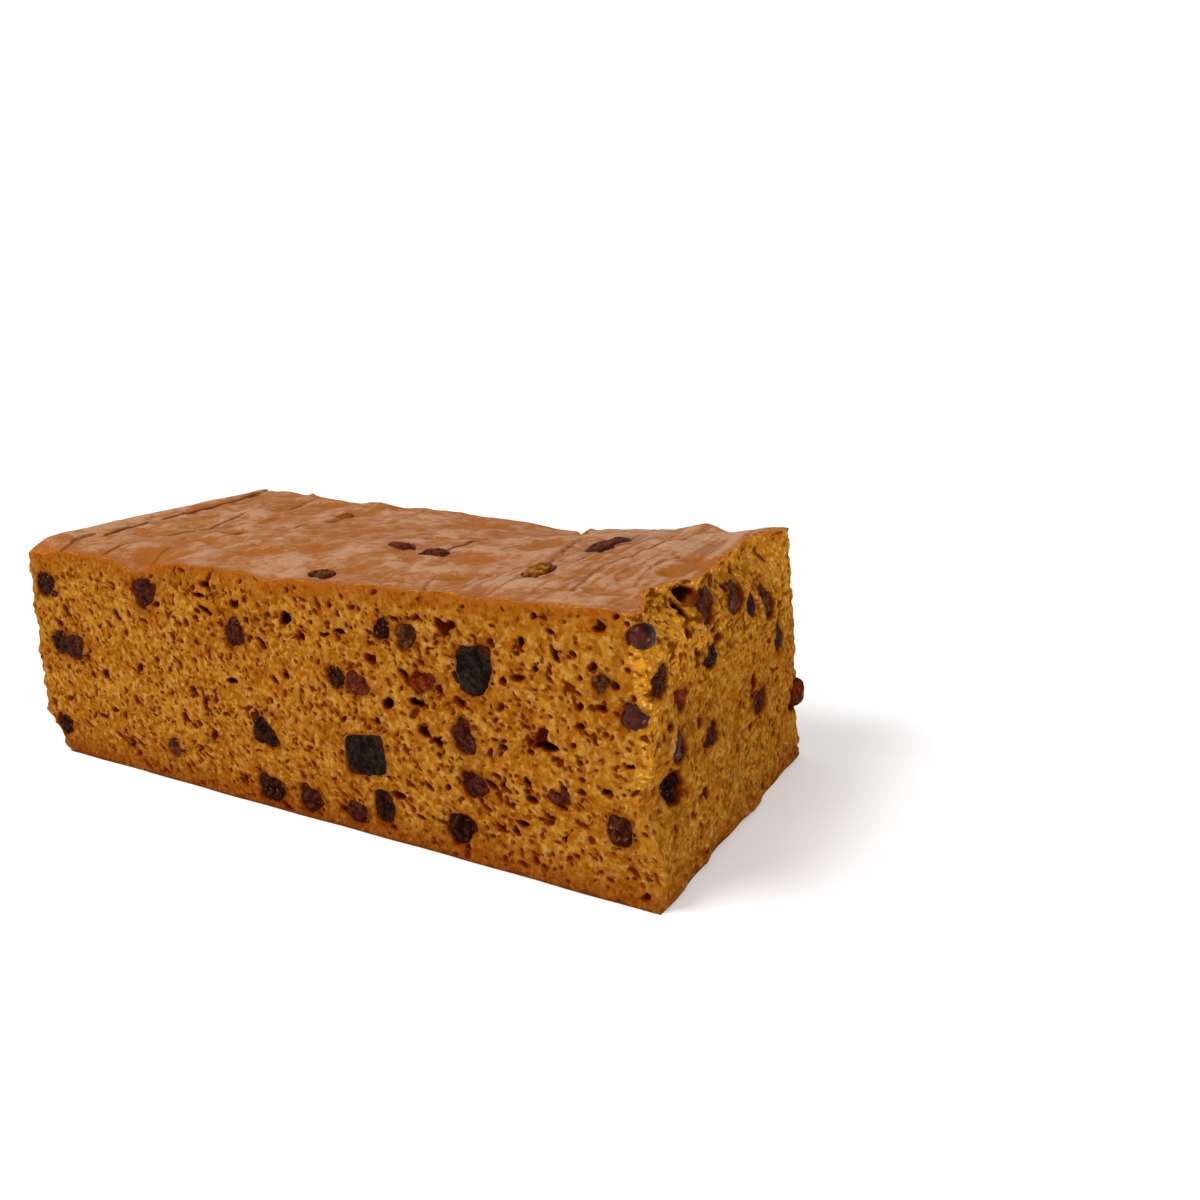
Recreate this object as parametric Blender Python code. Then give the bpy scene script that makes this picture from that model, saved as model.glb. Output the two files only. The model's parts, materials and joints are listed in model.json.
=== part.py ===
"""Spice bread: a bar cut from a flat slab loaf, with dried fruit in the crumb.

The long faces and the right end are cut or torn crumb. The top and the
bottom are crust. The left end leans outward to a rounded bottom corner.
Each piece of fruit that shows is its own solid in a pocket of the loaf.
+X runs along the length, -Y is the front face, +Z is up.
"""
import math
import random

import bmesh
import bpy
from mathutils import Matrix, Vector

MM = 0.001

# driving dimensions of the loaf, in millimetres
HALF_WIDTH = 55.0
TOP = 84.3
LEFT_TOP_X = -128.0
LEFT_LEAN = 15.5
CORNER_ROUND = 12.0
CORNER_HEIGHT = 15.0
RIGHT_TOP_X = 137.0
RIGHT_LEAN = 3.2
FACE_WAVE = 0.45

# fit of the fruit in its pockets, in millimetres
POCKET_GAP = 0.45
BULGE = 0.7
LUMP = 0.13

# where the loaf is divided, as fractions of its height
LEVELS = (0.02, 0.06, 0.11, 0.18, 0.28, 0.4, 0.52, 0.64, 0.75, 0.85, 0.92, 0.97)
LENGTH_CELLS = 31
WIDTH_CELLS = 13

# swells and dips of the top crust: x, y, reach along x, reach along y, height
SWELLS = (
    (-122.0, 10.0, 24.0, 70.0, 2.6),
    (-104.0, 30.0, 26.0, 55.0, 2.2),
    (50.0, 58.0, 24.0, 30.0, -6.4),
    (14.0, 58.0, 30.0, 26.0, -1.8),
    (-66.0, -56.0, 9.0, 12.0, -4.4),
    (2.0, -56.0, 10.0, 11.0, -2.4),
    (100.0, -8.0, 26.0, 30.0, 1.6),
    (20.0, -14.0, 42.0, 26.0, 1.2),
    (-52.0, 4.0, 26.0, 30.0, 0.9),
    (-126.0, -60.0, 14.0, 8.0, -3.0),
)

# hollows torn in the right end: y, z, reach, depth
TEARS = (
    (-50.0, 32.0, 9.0, 5.0),
    (-24.0, 82.0, 8.0, 4.5),
    (-34.0, 84.0, 7.0, 4.0),
    (28.0, 84.0, 16.0, 3.2),
    (2.0, 46.0, 12.0, 1.4),
    (30.0, 20.0, 14.0, 1.6),
    (-20.0, 18.0, 13.0, -1.2),
)

PLUM = (0.035, 0.018, 0.014)
INK = (0.016, 0.012, 0.012)
RUSSET = (0.12, 0.035, 0.018)
GARNET = (0.09, 0.012, 0.012)
ASHEN = (0.10, 0.075, 0.055)

# fruit seen on the front face: name, x, z, width, height, colour
FRONT_FRUIT = (
    ("left_edge", -124.4, 70.7, 8.2, 6.3, PLUM),
    ("left_pair_a", -122.6, 46.9, 8.8, 11.0, INK),
    ("left_pair_b", -112.8, 46.4, 8.4, 9.8, PLUM),
    ("left_foot", -131.0, 11.6, 9.0, 9.4, INK),
    ("upper_left", -63.4, 72.6, 10.0, 8.0, PLUM),
    ("middle_left", -18.0, 62.8, 9.0, 11.0, RUSSET),
    ("wedge", -10.9, 28.1, 12.0, 11.0, INK),
    ("low_russet", -61.7, 13.5, 8.0, 7.0, RUSSET),
    ("base_a", -11.9, 7.0, 12.0, 10.6, INK),
    ("base_b", 7.2, 6.9, 10.5, 10.4, PLUM),
    ("base_c", 28.3, 6.6, 8.4, 7.6, PLUM),
    ("base_d", 40.9, 11.0, 9.2, 12.0, INK),
    ("square", 35.4, 28.0, 16.6, 13.4, INK),
    ("twin_a", 26.8, 52.8, 6.8, 8.6, INK),
    ("twin_b", 36.0, 51.6, 9.0, 8.6, RUSSET),
    ("upper_dark", 48.6, 71.4, 6.6, 7.4, INK),
    ("upper_ashen", 58.2, 70.0, 7.6, 9.2, ASHEN),
    ("flat_russet", 62.4, 56.2, 10.0, 6.6, RUSSET),
    ("big", 82.2, 62.3, 13.7, 15.0, INK),
    ("middle_right", 77.3, 41.4, 8.3, 9.0, PLUM),
    ("lower_right", 78.4, 26.2, 10.0, 8.4, PLUM),
    ("low_rough", 71.7, 10.5, 10.7, 10.4, INK),
    ("right_ashen", 124.6, 64.6, 6.2, 7.8, ASHEN),
    ("right_corner", 134.6, 78.6, 8.0, 7.4, GARNET),
    ("right_garnet", 132.4, 56.6, 6.8, 7.2, GARNET),
    ("right_foot", 127.6, 22.1, 8.0, 9.4, PLUM),
    ("small_russet", 107.9, 29.1, 7.8, 6.0, RUSSET),
)

# fruit seen on the right end: name, y, z, width, height, colour
END_FRUIT = (
    ("front", -45.0, 66.4, 7.6, 8.4, PLUM),
    ("dark_small", -15.4, 60.9, 8.5, 6.7, INK),
    ("middle_low", 19.6, 33.9, 9.7, 9.4, PLUM),
    ("upper_ashen", 30.4, 64.2, 8.8, 9.2, ASHEN),
    ("back_dark", 38.6, 50.4, 9.5, 9.0, INK),
    ("back_edge", 51.4, 23.4, 10.0, 8.0, RUSSET),
    ("upper_russet", 5.4, 72.4, 11.0, 8.4, RUSSET),
    ("upper_dark", 17.2, 67.2, 6.8, 6.6, INK),
    ("torn_top", -16.4, 74.4, 8.0, 6.6, RUSSET),
    ("small_brown", -33.6, 56.4, 6.2, 6.2, RUSSET),
    ("tall_garnet", -36.6, 44.6, 7.2, 9.0, GARNET),
    ("front_dark", -41.4, 32.4, 8.6, 8.6, INK),
    ("flat_plum", -17.6, 37.4, 9.0, 7.0, PLUM),
)

# fruit breaking through the top crust: name, x, y, length, breadth, turn
TOP_FRUIT = (
    ("sunken", 87.0, 15.8, 15.0, 6.6, 78.0, INK),
    ("wrinkled", 35.2, -10.1, 9.0, 6.6, 30.0, RUSSET),
    ("dark", 18.7, -8.7, 9.4, 5.6, 5.0, INK),
    ("torn", 85.9, -22.6, 9.6, 6.8, 60.0, RUSSET),
    ("hollow", -46.2, 29.5, 10.0, 7.0, 20.0, RUSSET),
    ("edge", 18.6, -47.2, 9.2, 5.2, 18.0, INK),
)

# fruit on the back face: name, x, z, width, height, colour
BACK_FRUIT = (
    ("right_high", 112.0, 63.0, 10.0, 8.6, INK),
    ("right_low", 88.0, 21.0, 9.0, 10.4, PLUM),
    ("middle_high", 44.0, 58.0, 8.4, 9.0, RUSSET),
    ("middle_low", 20.0, 27.0, 12.0, 10.2, INK),
    ("centre", -16.0, 47.0, 9.4, 8.0, PLUM),
    ("left_mid", -62.0, 33.0, 10.6, 9.4, INK),
    ("left_high", -88.0, 66.0, 8.6, 7.6, RUSSET),
    ("left_low", -110.0, 17.0, 9.2, 8.8, PLUM),
)

# fruit on the left end: name, y, z, width, height, colour
LEFT_FRUIT = (
    ("back", 31.0, 55.0, 9.0, 8.0, PLUM),
    ("middle", -4.0, 30.0, 8.6, 9.4, INK),
    ("high", -21.0, 64.0, 7.6, 7.2, RUSSET),
)


def clear_scene():
    """Remove whatever objects the scene holds."""
    for ob in list(bpy.data.objects):
        bpy.data.objects.remove(ob, do_unlink=True)


def ease(t):
    """Smooth step from 0 to 1."""
    t = max(0.0, min(1.0, t))
    return t * t * (3.0 - 2.0 * t)


def wave(x, y, z, seed):
    """A gentle unevenness between -1 and 1."""
    a = math.sin(x * 0.071 + seed) * math.cos(y * 0.093 - seed * 1.7)
    b = math.sin(z * 0.118 + x * 0.043 + seed * 2.3)
    c = math.sin(x * 0.171 - z * 0.153 + y * 0.137 + seed)
    return 0.4 * a + 0.35 * b + 0.25 * c


def crust_height(x, y):
    """Height of the top crust at a point, in millimetres."""
    h = TOP
    for sx, sy, rx, ry, lift in SWELLS:
        fall = ((x - sx) / rx) ** 2 + ((y - sy) / ry) ** 2
        h += lift * math.exp(-fall)
    h += 0.35 * wave(x, y, 0.0, 1.3)
    return h


def left_face(y, z):
    """Where the left end stands at a height."""
    x = LEFT_TOP_X - LEFT_LEAN * (1.0 - z / TOP)
    if z < CORNER_HEIGHT:
        x += CORNER_ROUND * (1.0 - z / CORNER_HEIGHT) ** 1.5
    lip = max(0.0, z - TOP + 7.0) / 7.0
    x += 3.0 * lip ** 2
    return x + 0.7 * wave(y * 1.6, z, 0.0, 4.2)


def right_face(y, z):
    """Where the torn right end stands at a height."""
    x = RIGHT_TOP_X + RIGHT_LEAN * (1.0 - z / TOP)
    for ty, tz, reach, depth in TEARS:
        far = ((y - ty) ** 2 + (z - tz) ** 2) / reach ** 2
        x -= depth * math.exp(-far)
    x -= 1.5 * max(0.0, 1.0 - z / 5.0) ** 2
    return x + 0.8 * wave(y * 1.9, z * 1.7, 20.0, 7.1)


def side_face(x, z, side):
    """Where the front (side -1) or back (side 1) cut face stands."""
    y = side * (HALF_WIDTH + FACE_WAVE * wave(x, 0.0, z, 2.0 + side))
    y -= side * 1.4 * max(0.0, 1.0 - z / 4.0) ** 2
    return y


def cut_grid(bm, axis, places):
    """Divide a unit cube at the given places along one axis."""
    normal = [0.0, 0.0, 0.0]
    normal[axis] = 1.0
    for place in places:
        at = [0.0, 0.0, 0.0]
        at[axis] = place
        geom = bm.verts[:] + bm.edges[:] + bm.faces[:]
        bmesh.ops.bisect_plane(bm, geom=geom, plane_co=at, plane_no=normal)


def shape_loaf(bm):
    """Move every corner of the divided cube to the surface of the loaf."""
    for v in bm.verts:
        u = v.co.x + 0.5
        side = v.co.y * 2.0
        w = v.co.z + 0.5
        x = -130.0 + u * 268.0
        y = side * HALF_WIDTH
        z = w * crust_height(x, y)
        x = left_face(y, z) * (1.0 - u) + right_face(y, z) * u
        z = w * crust_height(x, y)
        front = side_face(x, z, -1.0)
        back = side_face(x, z, 1.0)
        y = front + (back - front) * (side + 1.0) / 2.0
        v.co = Vector((x * MM, y * MM, z * MM))


def finish(name, bm, colour, roughness):
    """Turn a bmesh into a smooth shaded object with its own material."""
    bmesh.ops.recalc_face_normals(bm, faces=bm.faces)
    mesh = bpy.data.meshes.new(name)
    bm.to_mesh(mesh)
    bm.free()
    ob = bpy.data.objects.new(name, mesh)
    bpy.context.scene.collection.objects.link(ob)
    for poly in mesh.polygons:
        poly.use_smooth = True
    mat = bpy.data.materials.new(name + "_look")
    mat.use_nodes = True
    shader = mat.node_tree.nodes["Principled BSDF"]
    shader.inputs["Base Color"].default_value = (*colour, 1.0)
    shader.inputs["Roughness"].default_value = roughness
    shader.inputs["Metallic"].default_value = 0.0
    mesh.materials.append(mat)
    return ob


def make_loaf():
    """The bar of bread before its pockets are cut."""
    bm = bmesh.new()
    bmesh.ops.create_cube(bm, size=1.0)
    cells = [i / LENGTH_CELLS - 0.5 for i in range(1, LENGTH_CELLS)]
    cut_grid(bm, 0, cells)
    cells = [i / WIDTH_CELLS - 0.5 for i in range(1, WIDTH_CELLS)]
    cut_grid(bm, 1, cells)
    cut_grid(bm, 2, [level - 0.5 for level in LEVELS])
    shape_loaf(bm)
    return finish("loaf", bm, (0.50, 0.25, 0.07), 0.8)


def berry_shape(half, seed, extra):
    """A lumpy ellipsoid about the origin, larger by extra millimetres."""
    rng = random.Random(seed)
    bm = bmesh.new()
    bmesh.ops.create_icosphere(bm, subdivisions=2, radius=1.0)
    for v in bm.verts:
        way = v.co.normalized()
        lump = 1.0 - LUMP * rng.random()
        grown = [way[i] * (half[i] * lump + extra) for i in range(3)]
        v.co = Vector(grown)
    return bm


def place_berry(bm, turn, centre, limit):
    """Turn and place a fruit, and flatten it where it would stand proud.

    limit is (axis, sign, place): nothing passes that place on that axis
    by more than a slight swelling.
    """
    bmesh.ops.transform(bm, matrix=turn, verts=bm.verts)
    bmesh.ops.translate(bm, vec=Vector(centre), verts=bm.verts)
    if limit:
        axis, sign, place = limit
        for v in bm.verts:
            proud = sign * (v.co[axis] - place)
            if proud > 0.0:
                v.co[axis] = place + sign * proud * 0.35
    for v in bm.verts:
        v.co = v.co * MM


def add_fruit(loaf, name, half, turn, centre, limit, colour, seed):
    """Cut one pocket in the loaf and put its fruit there."""
    bm = berry_shape(half, seed, POCKET_GAP)
    place_berry(bm, turn, centre, None)
    cutter = finish(name + "_pocket", bm, colour, 0.5)
    cutter.hide_render = True
    cutter.display_type = "WIRE"
    mod = loaf.modifiers.new(name + "_pocket", "BOOLEAN")
    mod.operation = "DIFFERENCE"
    mod.solver = "EXACT"
    mod.object = cutter
    bm = berry_shape(half, seed, 0.0)
    place_berry(bm, turn, centre, limit)
    finish(name, bm, colour, 0.38)
    return cutter


def facing_turn(axis, spin):
    """Turn a fruit about the direction its face looks in."""
    return Matrix.Rotation(math.radians(spin), 4, "XYZ"[axis])


def add_face_fruit(loaf, prefix, rows, axis, sign, face):
    """Fruit in a row list on one upright face of the loaf."""
    cutters = []
    for index, (name, across, z, wide, tall, colour) in enumerate(rows):
        deep = 0.42 * min(wide, tall)
        there = face(across, z)
        place = there + sign * 0.15
        middle = there - sign * (deep - BULGE)
        half = [wide / 2.0, wide / 2.0, tall / 2.0]
        half[axis] = deep
        centre = [across, across, z]
        centre[axis] = middle
        spin = (index * 37) % 50 - 25
        turn = facing_turn(axis, spin)
        cutters.append(add_fruit(loaf, prefix + name, half, turn, centre,
                                 (axis, sign, place), colour, index + 11 * axis))
    return cutters


def add_top_fruit(loaf):
    """Fruit that breaks through the top crust."""
    cutters = []
    for index, row in enumerate(TOP_FRUIT):
        name, x, y, long, broad, spin, colour = row
        deep = 0.45 * broad
        top = crust_height(x, y)
        centre = [x, y, top - deep + 0.5]
        turn = facing_turn(2, spin)
        half = [long / 2.0, broad / 2.0, deep]
        cutters.append(add_fruit(loaf, "top_" + name, half, turn, centre,
                                 (2, 1.0, top), colour, index + 70))
    return cutters


def apply_pockets(loaf, cutters):
    """Make the pockets part of the loaf and remove their cutters."""
    depsgraph = bpy.context.evaluated_depsgraph_get()
    cut = bpy.data.meshes.new_from_object(loaf.evaluated_get(depsgraph))
    loaf.modifiers.clear()
    loaf.data = cut
    cut.name = "loaf"
    for cutter in cutters:
        bpy.data.objects.remove(cutter, do_unlink=True)


def main():
    clear_scene()
    loaf = make_loaf()
    cutters = []
    cutters += add_face_fruit(loaf, "front_", FRONT_FRUIT, 1, -1.0,
                              lambda x, z: side_face(x, z, -1.0))
    cutters += add_face_fruit(loaf, "end_", END_FRUIT, 0, 1.0, right_face)
    cutters += add_face_fruit(loaf, "back_", BACK_FRUIT, 1, 1.0,
                              lambda x, z: side_face(x, z, 1.0))
    cutters += add_face_fruit(loaf, "left_", LEFT_FRUIT, 0, -1.0, left_face)
    cutters += add_top_fruit(loaf)
    apply_pockets(loaf, cutters)


main()
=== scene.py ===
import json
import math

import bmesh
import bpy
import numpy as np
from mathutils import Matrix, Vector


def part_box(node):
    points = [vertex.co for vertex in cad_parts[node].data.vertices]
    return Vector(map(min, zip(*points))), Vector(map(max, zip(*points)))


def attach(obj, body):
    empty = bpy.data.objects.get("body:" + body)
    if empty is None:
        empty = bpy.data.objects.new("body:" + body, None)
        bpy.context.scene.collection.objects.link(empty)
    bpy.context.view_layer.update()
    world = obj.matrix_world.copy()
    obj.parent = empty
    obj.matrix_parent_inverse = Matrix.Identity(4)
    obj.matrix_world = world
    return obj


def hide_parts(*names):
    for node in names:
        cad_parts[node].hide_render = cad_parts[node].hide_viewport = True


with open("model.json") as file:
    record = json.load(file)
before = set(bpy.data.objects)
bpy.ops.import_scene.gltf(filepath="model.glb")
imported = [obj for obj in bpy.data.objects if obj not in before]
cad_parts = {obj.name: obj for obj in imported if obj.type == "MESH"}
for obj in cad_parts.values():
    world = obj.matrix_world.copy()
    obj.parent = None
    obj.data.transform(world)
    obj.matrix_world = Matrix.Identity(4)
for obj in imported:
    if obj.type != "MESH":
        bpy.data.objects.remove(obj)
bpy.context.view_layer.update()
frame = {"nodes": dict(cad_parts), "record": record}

# %% [markdown]
# # Dressing a bar of spice bread
# The solids of the bread are already loaded: one loaf and many small pieces of
# dried fruit. This lesson puts a real surface on them. Each side of the loaf gets
# a skin of its own, and the front and the top get two, because a cut face, a torn
# end and a baked crust look quite different, and each skin can then have the
# fineness and the finish it needs. One mesh for the whole loaf would be either
# too coarse for pores or too heavy.

MM = 0.001

# %% [markdown]
# ## The form of the loaf
# The bar was cut from a slab, so its long faces are nearly flat. The left end
# leans outward and rounds off at the foot, the right end was torn, and the top
# swells and dips as it baked. Each of these is a short formula here, in
# millimetres, close to the ones the solid was made with, with the small lips and
# dips added. Formulas were chosen over moving points by hand, because every skin
# can then ask for any place at all.

# %% Sizes of the loaf, in millimetres
HALF_WIDTH = 55.0
TOP = 84.3
LEFT_TOP_X = -132.0
LEFT_LEAN = 12.5
CORNER_ROUND = 13.0
CORNER_HEIGHT = 14.0
RIGHT_TOP_X = 137.4
FOOT_FLARE = 1.3
RIGHT_LEAN = 3.2
FACE_WAVE = 0.45
END_WAVE = 0.7
TORN_WAVE = 0.8
TOP_WAVE = 0.35
LIP, LIP_HEIGHT = 3.0, 7.0
TORN_FROM, TORN_OVER = 72.0, 9.0
LENGTH = 268.0
START_X = -130.0

# swells and dips of the crust: x, y, reach along x, reach along y, height
SWELLS = (
    (-122, 10, 24, 70, 2.6), (-104, 30, 26, 55, 2.2), (-98, 62, 18, 22, 1.8), (-55, 62, 25, 25, 0.8),
    (50, 58, 24, 30, -5.2), (86, 60, 18, 26, -2.6), (106.5, 58, 4.5, 10, 1), (116, 60, 7, 16, -2.2),
    (14, 58, 30, 26, -1.8), (-66, -56, 9, 12, -4.4), (2, -56, 10, 11, -2.4), (100, -8, 26, 30, 1.6),
    (20, -14, 42, 26, 1.2), (-52, 4, 26, 30, 0.9), (-126, -60, 14, 4.5, -8.5), (-131, -44, 7, 9, 2.3),
    (-90.5, 56.5, 1.6, 2.4, 1.5), (-130, 33, 1.5, 2.4, 1), (57.2, 54.5, 1.7, 3, 0.5),
    (34, -13, 8, 6, -1.5), (20, -52, 9, 7, -0.9), (94, 58, 5, 10, -0.9), (123, 58, 7, 10, -1),
)

# hollows torn in the right end: y, z, reach, depth
TEARS = (
    (-50, 32, 9, 5), (-24, 82, 8, 4.5), (-34, 84, 7, 4), (28, 84, 16, 3.2), (2, 46, 12, 1.4),
    (30, 20, 14, 1.6), (-20, 18, 13, -1.2),
)

# how far the torn edge of the crust stands back from the right end: y, distance
TORN_EDGE = (
    (-55, 1), (-50, 3), (-44, 5), (-38.6, 6), (-33, 4.5), (-29.5, 3.4), (-22.7, 2), (-17.5, 0),
    (-12, 1.5), (-4.3, 3.1), (8.6, 4.8), (21.6, 3.6), (37.6, 4.2), (48, 2), (55, 0.2),
)

# the rim along the left end: where it runs, how wide it is and how high it stands
RIM_X, RIM_REACH, RIM_TOP = -122.0, 6.5, 89.0


# %% Random unevenness
LATTICE_CELLS = 48
LATTICE = np.random.default_rng(11).random((LATTICE_CELLS,) * 3)


def cloud(x, y, z, size, seed=0):
    """A smooth random field from -1 to 1 with lumps of about this size."""
    cells, parts = [], []
    for value, shift in zip((x, y, z), (3.7, 9.1, 5.3)):
        place = np.asarray(value, float) / size + shift * (seed + 1)
        cell = np.floor(place)
        part = place - cell
        cells.append(cell.astype(int))
        parts.append(part * part * (3.0 - 2.0 * part))
    total = 0.0
    for corner in range(8):
        weight = 1.0
        index = []
        for axis in range(3):
            high = corner >> axis & 1
            weight = weight * (parts[axis] if high else 1.0 - parts[axis])
            index.append((cells[axis] + high) % LATTICE_CELLS)
        total = total + weight * LATTICE[tuple(index)]
    return total * 2.0 - 1.0


def clouds(x, y, z, *layers):
    """Several clouds added up. Each layer is a weight, a size and a seed."""
    return sum(weight * cloud(x, y, z, size, seed) for weight, size, seed in layers)


def wave(x, y, z, seed):
    """The slow unevenness of the solid itself."""
    a = np.sin(x * 0.071 + seed) * np.cos(y * 0.093 - seed * 1.7)
    b = np.sin(z * 0.118 + x * 0.043 + seed * 2.3)
    c = np.sin(x * 0.171 - z * 0.153 + y * 0.137 + seed)
    return 0.4 * a + 0.35 * b + 0.25 * c


def ease(t):
    """A smooth step from 0 to 1."""
    t = np.clip(t, 0.0, 1.0)
    return t * t * (3.0 - 2.0 * t)


def bell(t):
    """A smooth hump: 1 at 0, and almost nothing beyond 2."""
    return np.exp(-t ** 2)


print("cloud at the origin:", round(float(cloud(0, 0, 0, 5)), 3))

# %% [markdown]
# ## Wrinkles of the crust
# As the loaf cools, its skin folds into creases. They run mostly parallel to
# the left end and across the right part, where one long straight crack shows.
# Each crease is a chain of points on the crust. The height of the crust drops
# in a narrow valley beside the chain, and one bank stands a little proud, which
# is what catches the light. A dark line of painted shade runs along the valley.
# A bump map alone would leave the outline smooth.

# %% Creases: points along each, then its width, its depth and how dark its line of painted shade is
CREASES = (
    (((-106, -58), (-111, -52), (-115, -45), (-115.5, -40), (-114.5, -35)), 0.6, 1, 0.75),
    (((-111, -37), (-110.5, -30), (-112, -25), (-111.5, -19), (-113, -10)), 0.7, 1.8, 1),
    (((-111, -13), (-109, -4), (-110, 4), (-111, 14), (-113.5, 26), (-115.5, 36), (-118, 47), (-119, 60)),
     0.9, 2.4, 1),
    (((-89, -52), (-91, -45), (-92.5, -41), (-92.5, -33)), 0.5, 0.8, 0.6),
    (((-93, -24), (-88, -16), (-83, -8), (-86, 1), (-88, 9), (-89, 18)), 0.5, 0.9, 0.7),
    (((-88, 24), (-81, 31), (-83, 40), (-86, 56)), 0.6, 0.7, 0.4),
    (((-44, -7), (-44.5, 1), (-47.5, 11)), 0.5, 0.7, 0.7),
    (((-60, -54), (-67, -45), (-71, -40), (-75, -31)), 0.5, 0.6, 0.3),
    (((113, -51), (107, -35), (106, -28), (105, -19), (104, -7), (106, -2), (106, 18), (109, 30), (112, 50)),
     0.5, 0.7, 0.6),
    (((124, -34), (119, -20), (118, -6), (121, 10)), 0.5, 0.5, 0.4),
    (((67, 40), (73, 20), (79, -1), (87, -22), (90, -34), (86, -40)), 1.2, 1.7, 0.7),
    (((50, 62), (53.6, 55), (60, 46), (67, 40)), 1.5, 2.9, 0.8),
    (((69, -56), (62, -48), (60, -42), (68, -38), (76, -38)), 1, 0.8, 0.35),
    (((9, -8), (14, -6), (19, -7), (29, -12)), 0.6, 1.2, 0.8),
    (((40, -17), (40, -8), (40, 3), (41, 13)), 0.6, 1.2, 0.9),
    (((-64, -20), (-52, -24), (-40, -22), (-30, -26)), 1.2, 0.8, 0.2),
    (((-36, -54), (-22, -46), (-8, -44), (6, -48)), 1.4, 0.9, 0.15),
    (((88, -52), (97, -46), (103, -47)), 1, 0.7, 0.3),
    (((-8, 30), (6, 26), (18, 30), (30, 24)), 1.2, 0.8, 0.15),
    (((66, -30), (71, -34), (78, -35)), 0.5, 0.6, 0.7),
    (((116, -28), (112, -22), (113, -12), (116, -2)), 0.5, 0.4, 0.3),
    (((94, -24), (92, -8), (93, 6), (97, 22)), 0.5, 0.4, 0.35),
)

# shallow hollows where the crust baked orange brown: x, y, reaches along x and y, strength
HOLLOWS = (
    (-96, -53, 13, 4, 0.7), (-72, -43, 10, 8, 1), (-58, -44, 8, 8, 0.9), (-66, -24, 12, 4, 1),
    (-65, -11, 3.5, 4, 1.5), (-28, -30, 9, 6, 0.9), (-26, -44, 8, 5, 0.5), (-11, -22, 10, 8, 0.8),
    (-43, 23, 3, 5, 1.5), (-44, 36, 12, 7, 1), (-70, 46, 11, 6, 0.9), (-9, 13, 15, 6, 0.6),
    (23, 3, 9, 5, 0.7), (54, -16, 14, 8, 0.8), (37, -24, 8, 4, 0.6), (63, -38, 12, 6, 0.8),
    (-116, 24, 3, 34, 0.8), (-108, 30, 3.2, 6, 1.1), (52, 27, 2.5, 4, 1.2), (-72, 13, 3, 4, 1.1),
    (64, 9, 6, 15, 1), (127, -5, 6, 16, 1), (115, -37, 7, 6, 0.7), (104, -40, 7, 5, 0.7),
    (20, 40, 18, 6, 0.7), (44, -47, 12, 4, 0.6), (24, -42, 9, 6, 0.6), (-20, 50, 16, 6, 0.6),
)


def crease_valley(x, y, chain, width, depth, ink):
    """The valley and its raised bank along one chain, its line of painted shade and its brown flank."""
    wander = clouds(x, y, 0.0, (1.2, 9.0, 3), (0.6, 3.0, 4))
    nearest = np.full(np.shape(x), 1e9)
    side = np.zeros(np.shape(x))
    along = np.zeros(np.shape(x))
    steps = len(chain) - 1
    # find each point's nearest step of the chain, and on which side of it the point lies
    for step in range(steps):
        (ax, ay), (bx, by) = chain[step], chain[step + 1]
        run = math.hypot(bx - ax, by - ay)
        t = ((x - ax) * (bx - ax) + (y - ay) * (by - ay)) / run ** 2
        t = np.clip(t, 0.0, 1.0)
        dx = x - ax - t * (bx - ax)
        dy = y - ay - t * (by - ay)
        gap = np.hypot(dx, dy)
        closer = gap < nearest
        nearest = np.where(closer, gap, nearest)
        turned = ((bx - ax) * dy - (by - ay) * dx) / run
        side = np.where(closer, turned, side)
        along = np.where(closer, (step + t) / steps, along)
    side = side + wander * np.minimum(1.0, nearest)
    fade = ease(along * 7.0) * ease((1.0 - along) * 7.0)
    fade = fade * np.clip(1.0 + 0.6 * cloud(x, y, 0.0, 7.0, 8), 0.3, 1.0)
    near = bell(nearest / (width * 4.0))
    valley = -depth * bell(side / width)
    bank = min(0.3 * depth, 0.6) * bell((side - 2.4 * width) / (2.0 * width))
    drawn = np.clip(1.6 * fade * near, 0.0, 1.0)
    # ink says how dark this line of painted shade along the valley is
    line = ink * bell((side - 0.85 * width) / max(0.28, 0.3 * width))
    torn_skin = min(1.0, max(0.0, (depth - 1.3) / 0.7)) * ease(0.55 + 1.3 * cloud(x, y, 5.0, 9.0, 54))
    flank = torn_skin * bell((side - 2.4 * width) / (1.7 * width))
    return fade * near * (valley + bank), drawn * line, drawn * flank


def crease_depth(x, y):
    """All creases together, their lines of painted shade and their brown flanks."""
    total = np.zeros(np.shape(x))
    lines = np.zeros(np.shape(x))
    flanks = np.zeros(np.shape(x))
    for chain, width, depth, ink in CREASES:
        valley, line, flank = crease_valley(x, y, chain, width, depth, ink)
        total = total + valley
        lines = np.maximum(lines, line)
        flanks = np.maximum(flanks, flank)
    return total, lines, flanks


def hollow_strength(x, y):
    """How much a place lies in one of the orange brown hollows."""
    total = np.zeros(np.shape(x))
    bent_x = x + clouds(x, y, 0.0, (3.0, 8.0, 33), (1.2, 3.0, 34))
    bent_y = y + clouds(x, y, 9.0, (3.0, 8.0, 35), (1.2, 3.0, 36))
    for hx, hy, rx, ry, strength in HOLLOWS:
        far = ((bent_x - hx) / rx) ** 2 + ((bent_y - hy) / ry) ** 2
        total = np.maximum(total, strength * np.exp(-far ** 1.5))
    return total


def fine_lines(x, y):
    """Fine stretched wrinkles: across the loaf at the right, slanting elsewhere."""
    right_part = ease((x - 62.0) / 22.0)
    straight = cloud(x + 0.06 * y, y * 0.13, 0.0, 1.4, 15) + 0.6 * cloud(x + 0.1 * y, y * 0.1, 4.0, 3.4, 16)
    across, along = 0.79 * y - 0.62 * x, 0.79 * x + 0.62 * y
    slanting = cloud(across, along * 0.16, 0.0, 1.9, 17) + 0.7 * cloud(across, along * 0.2, 4.0, 4.2, 18)
    return straight * right_part + 0.45 * slanting * (1.0 - right_part)


print("creases:", len(CREASES), "hollows:", len(HOLLOWS))


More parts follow.
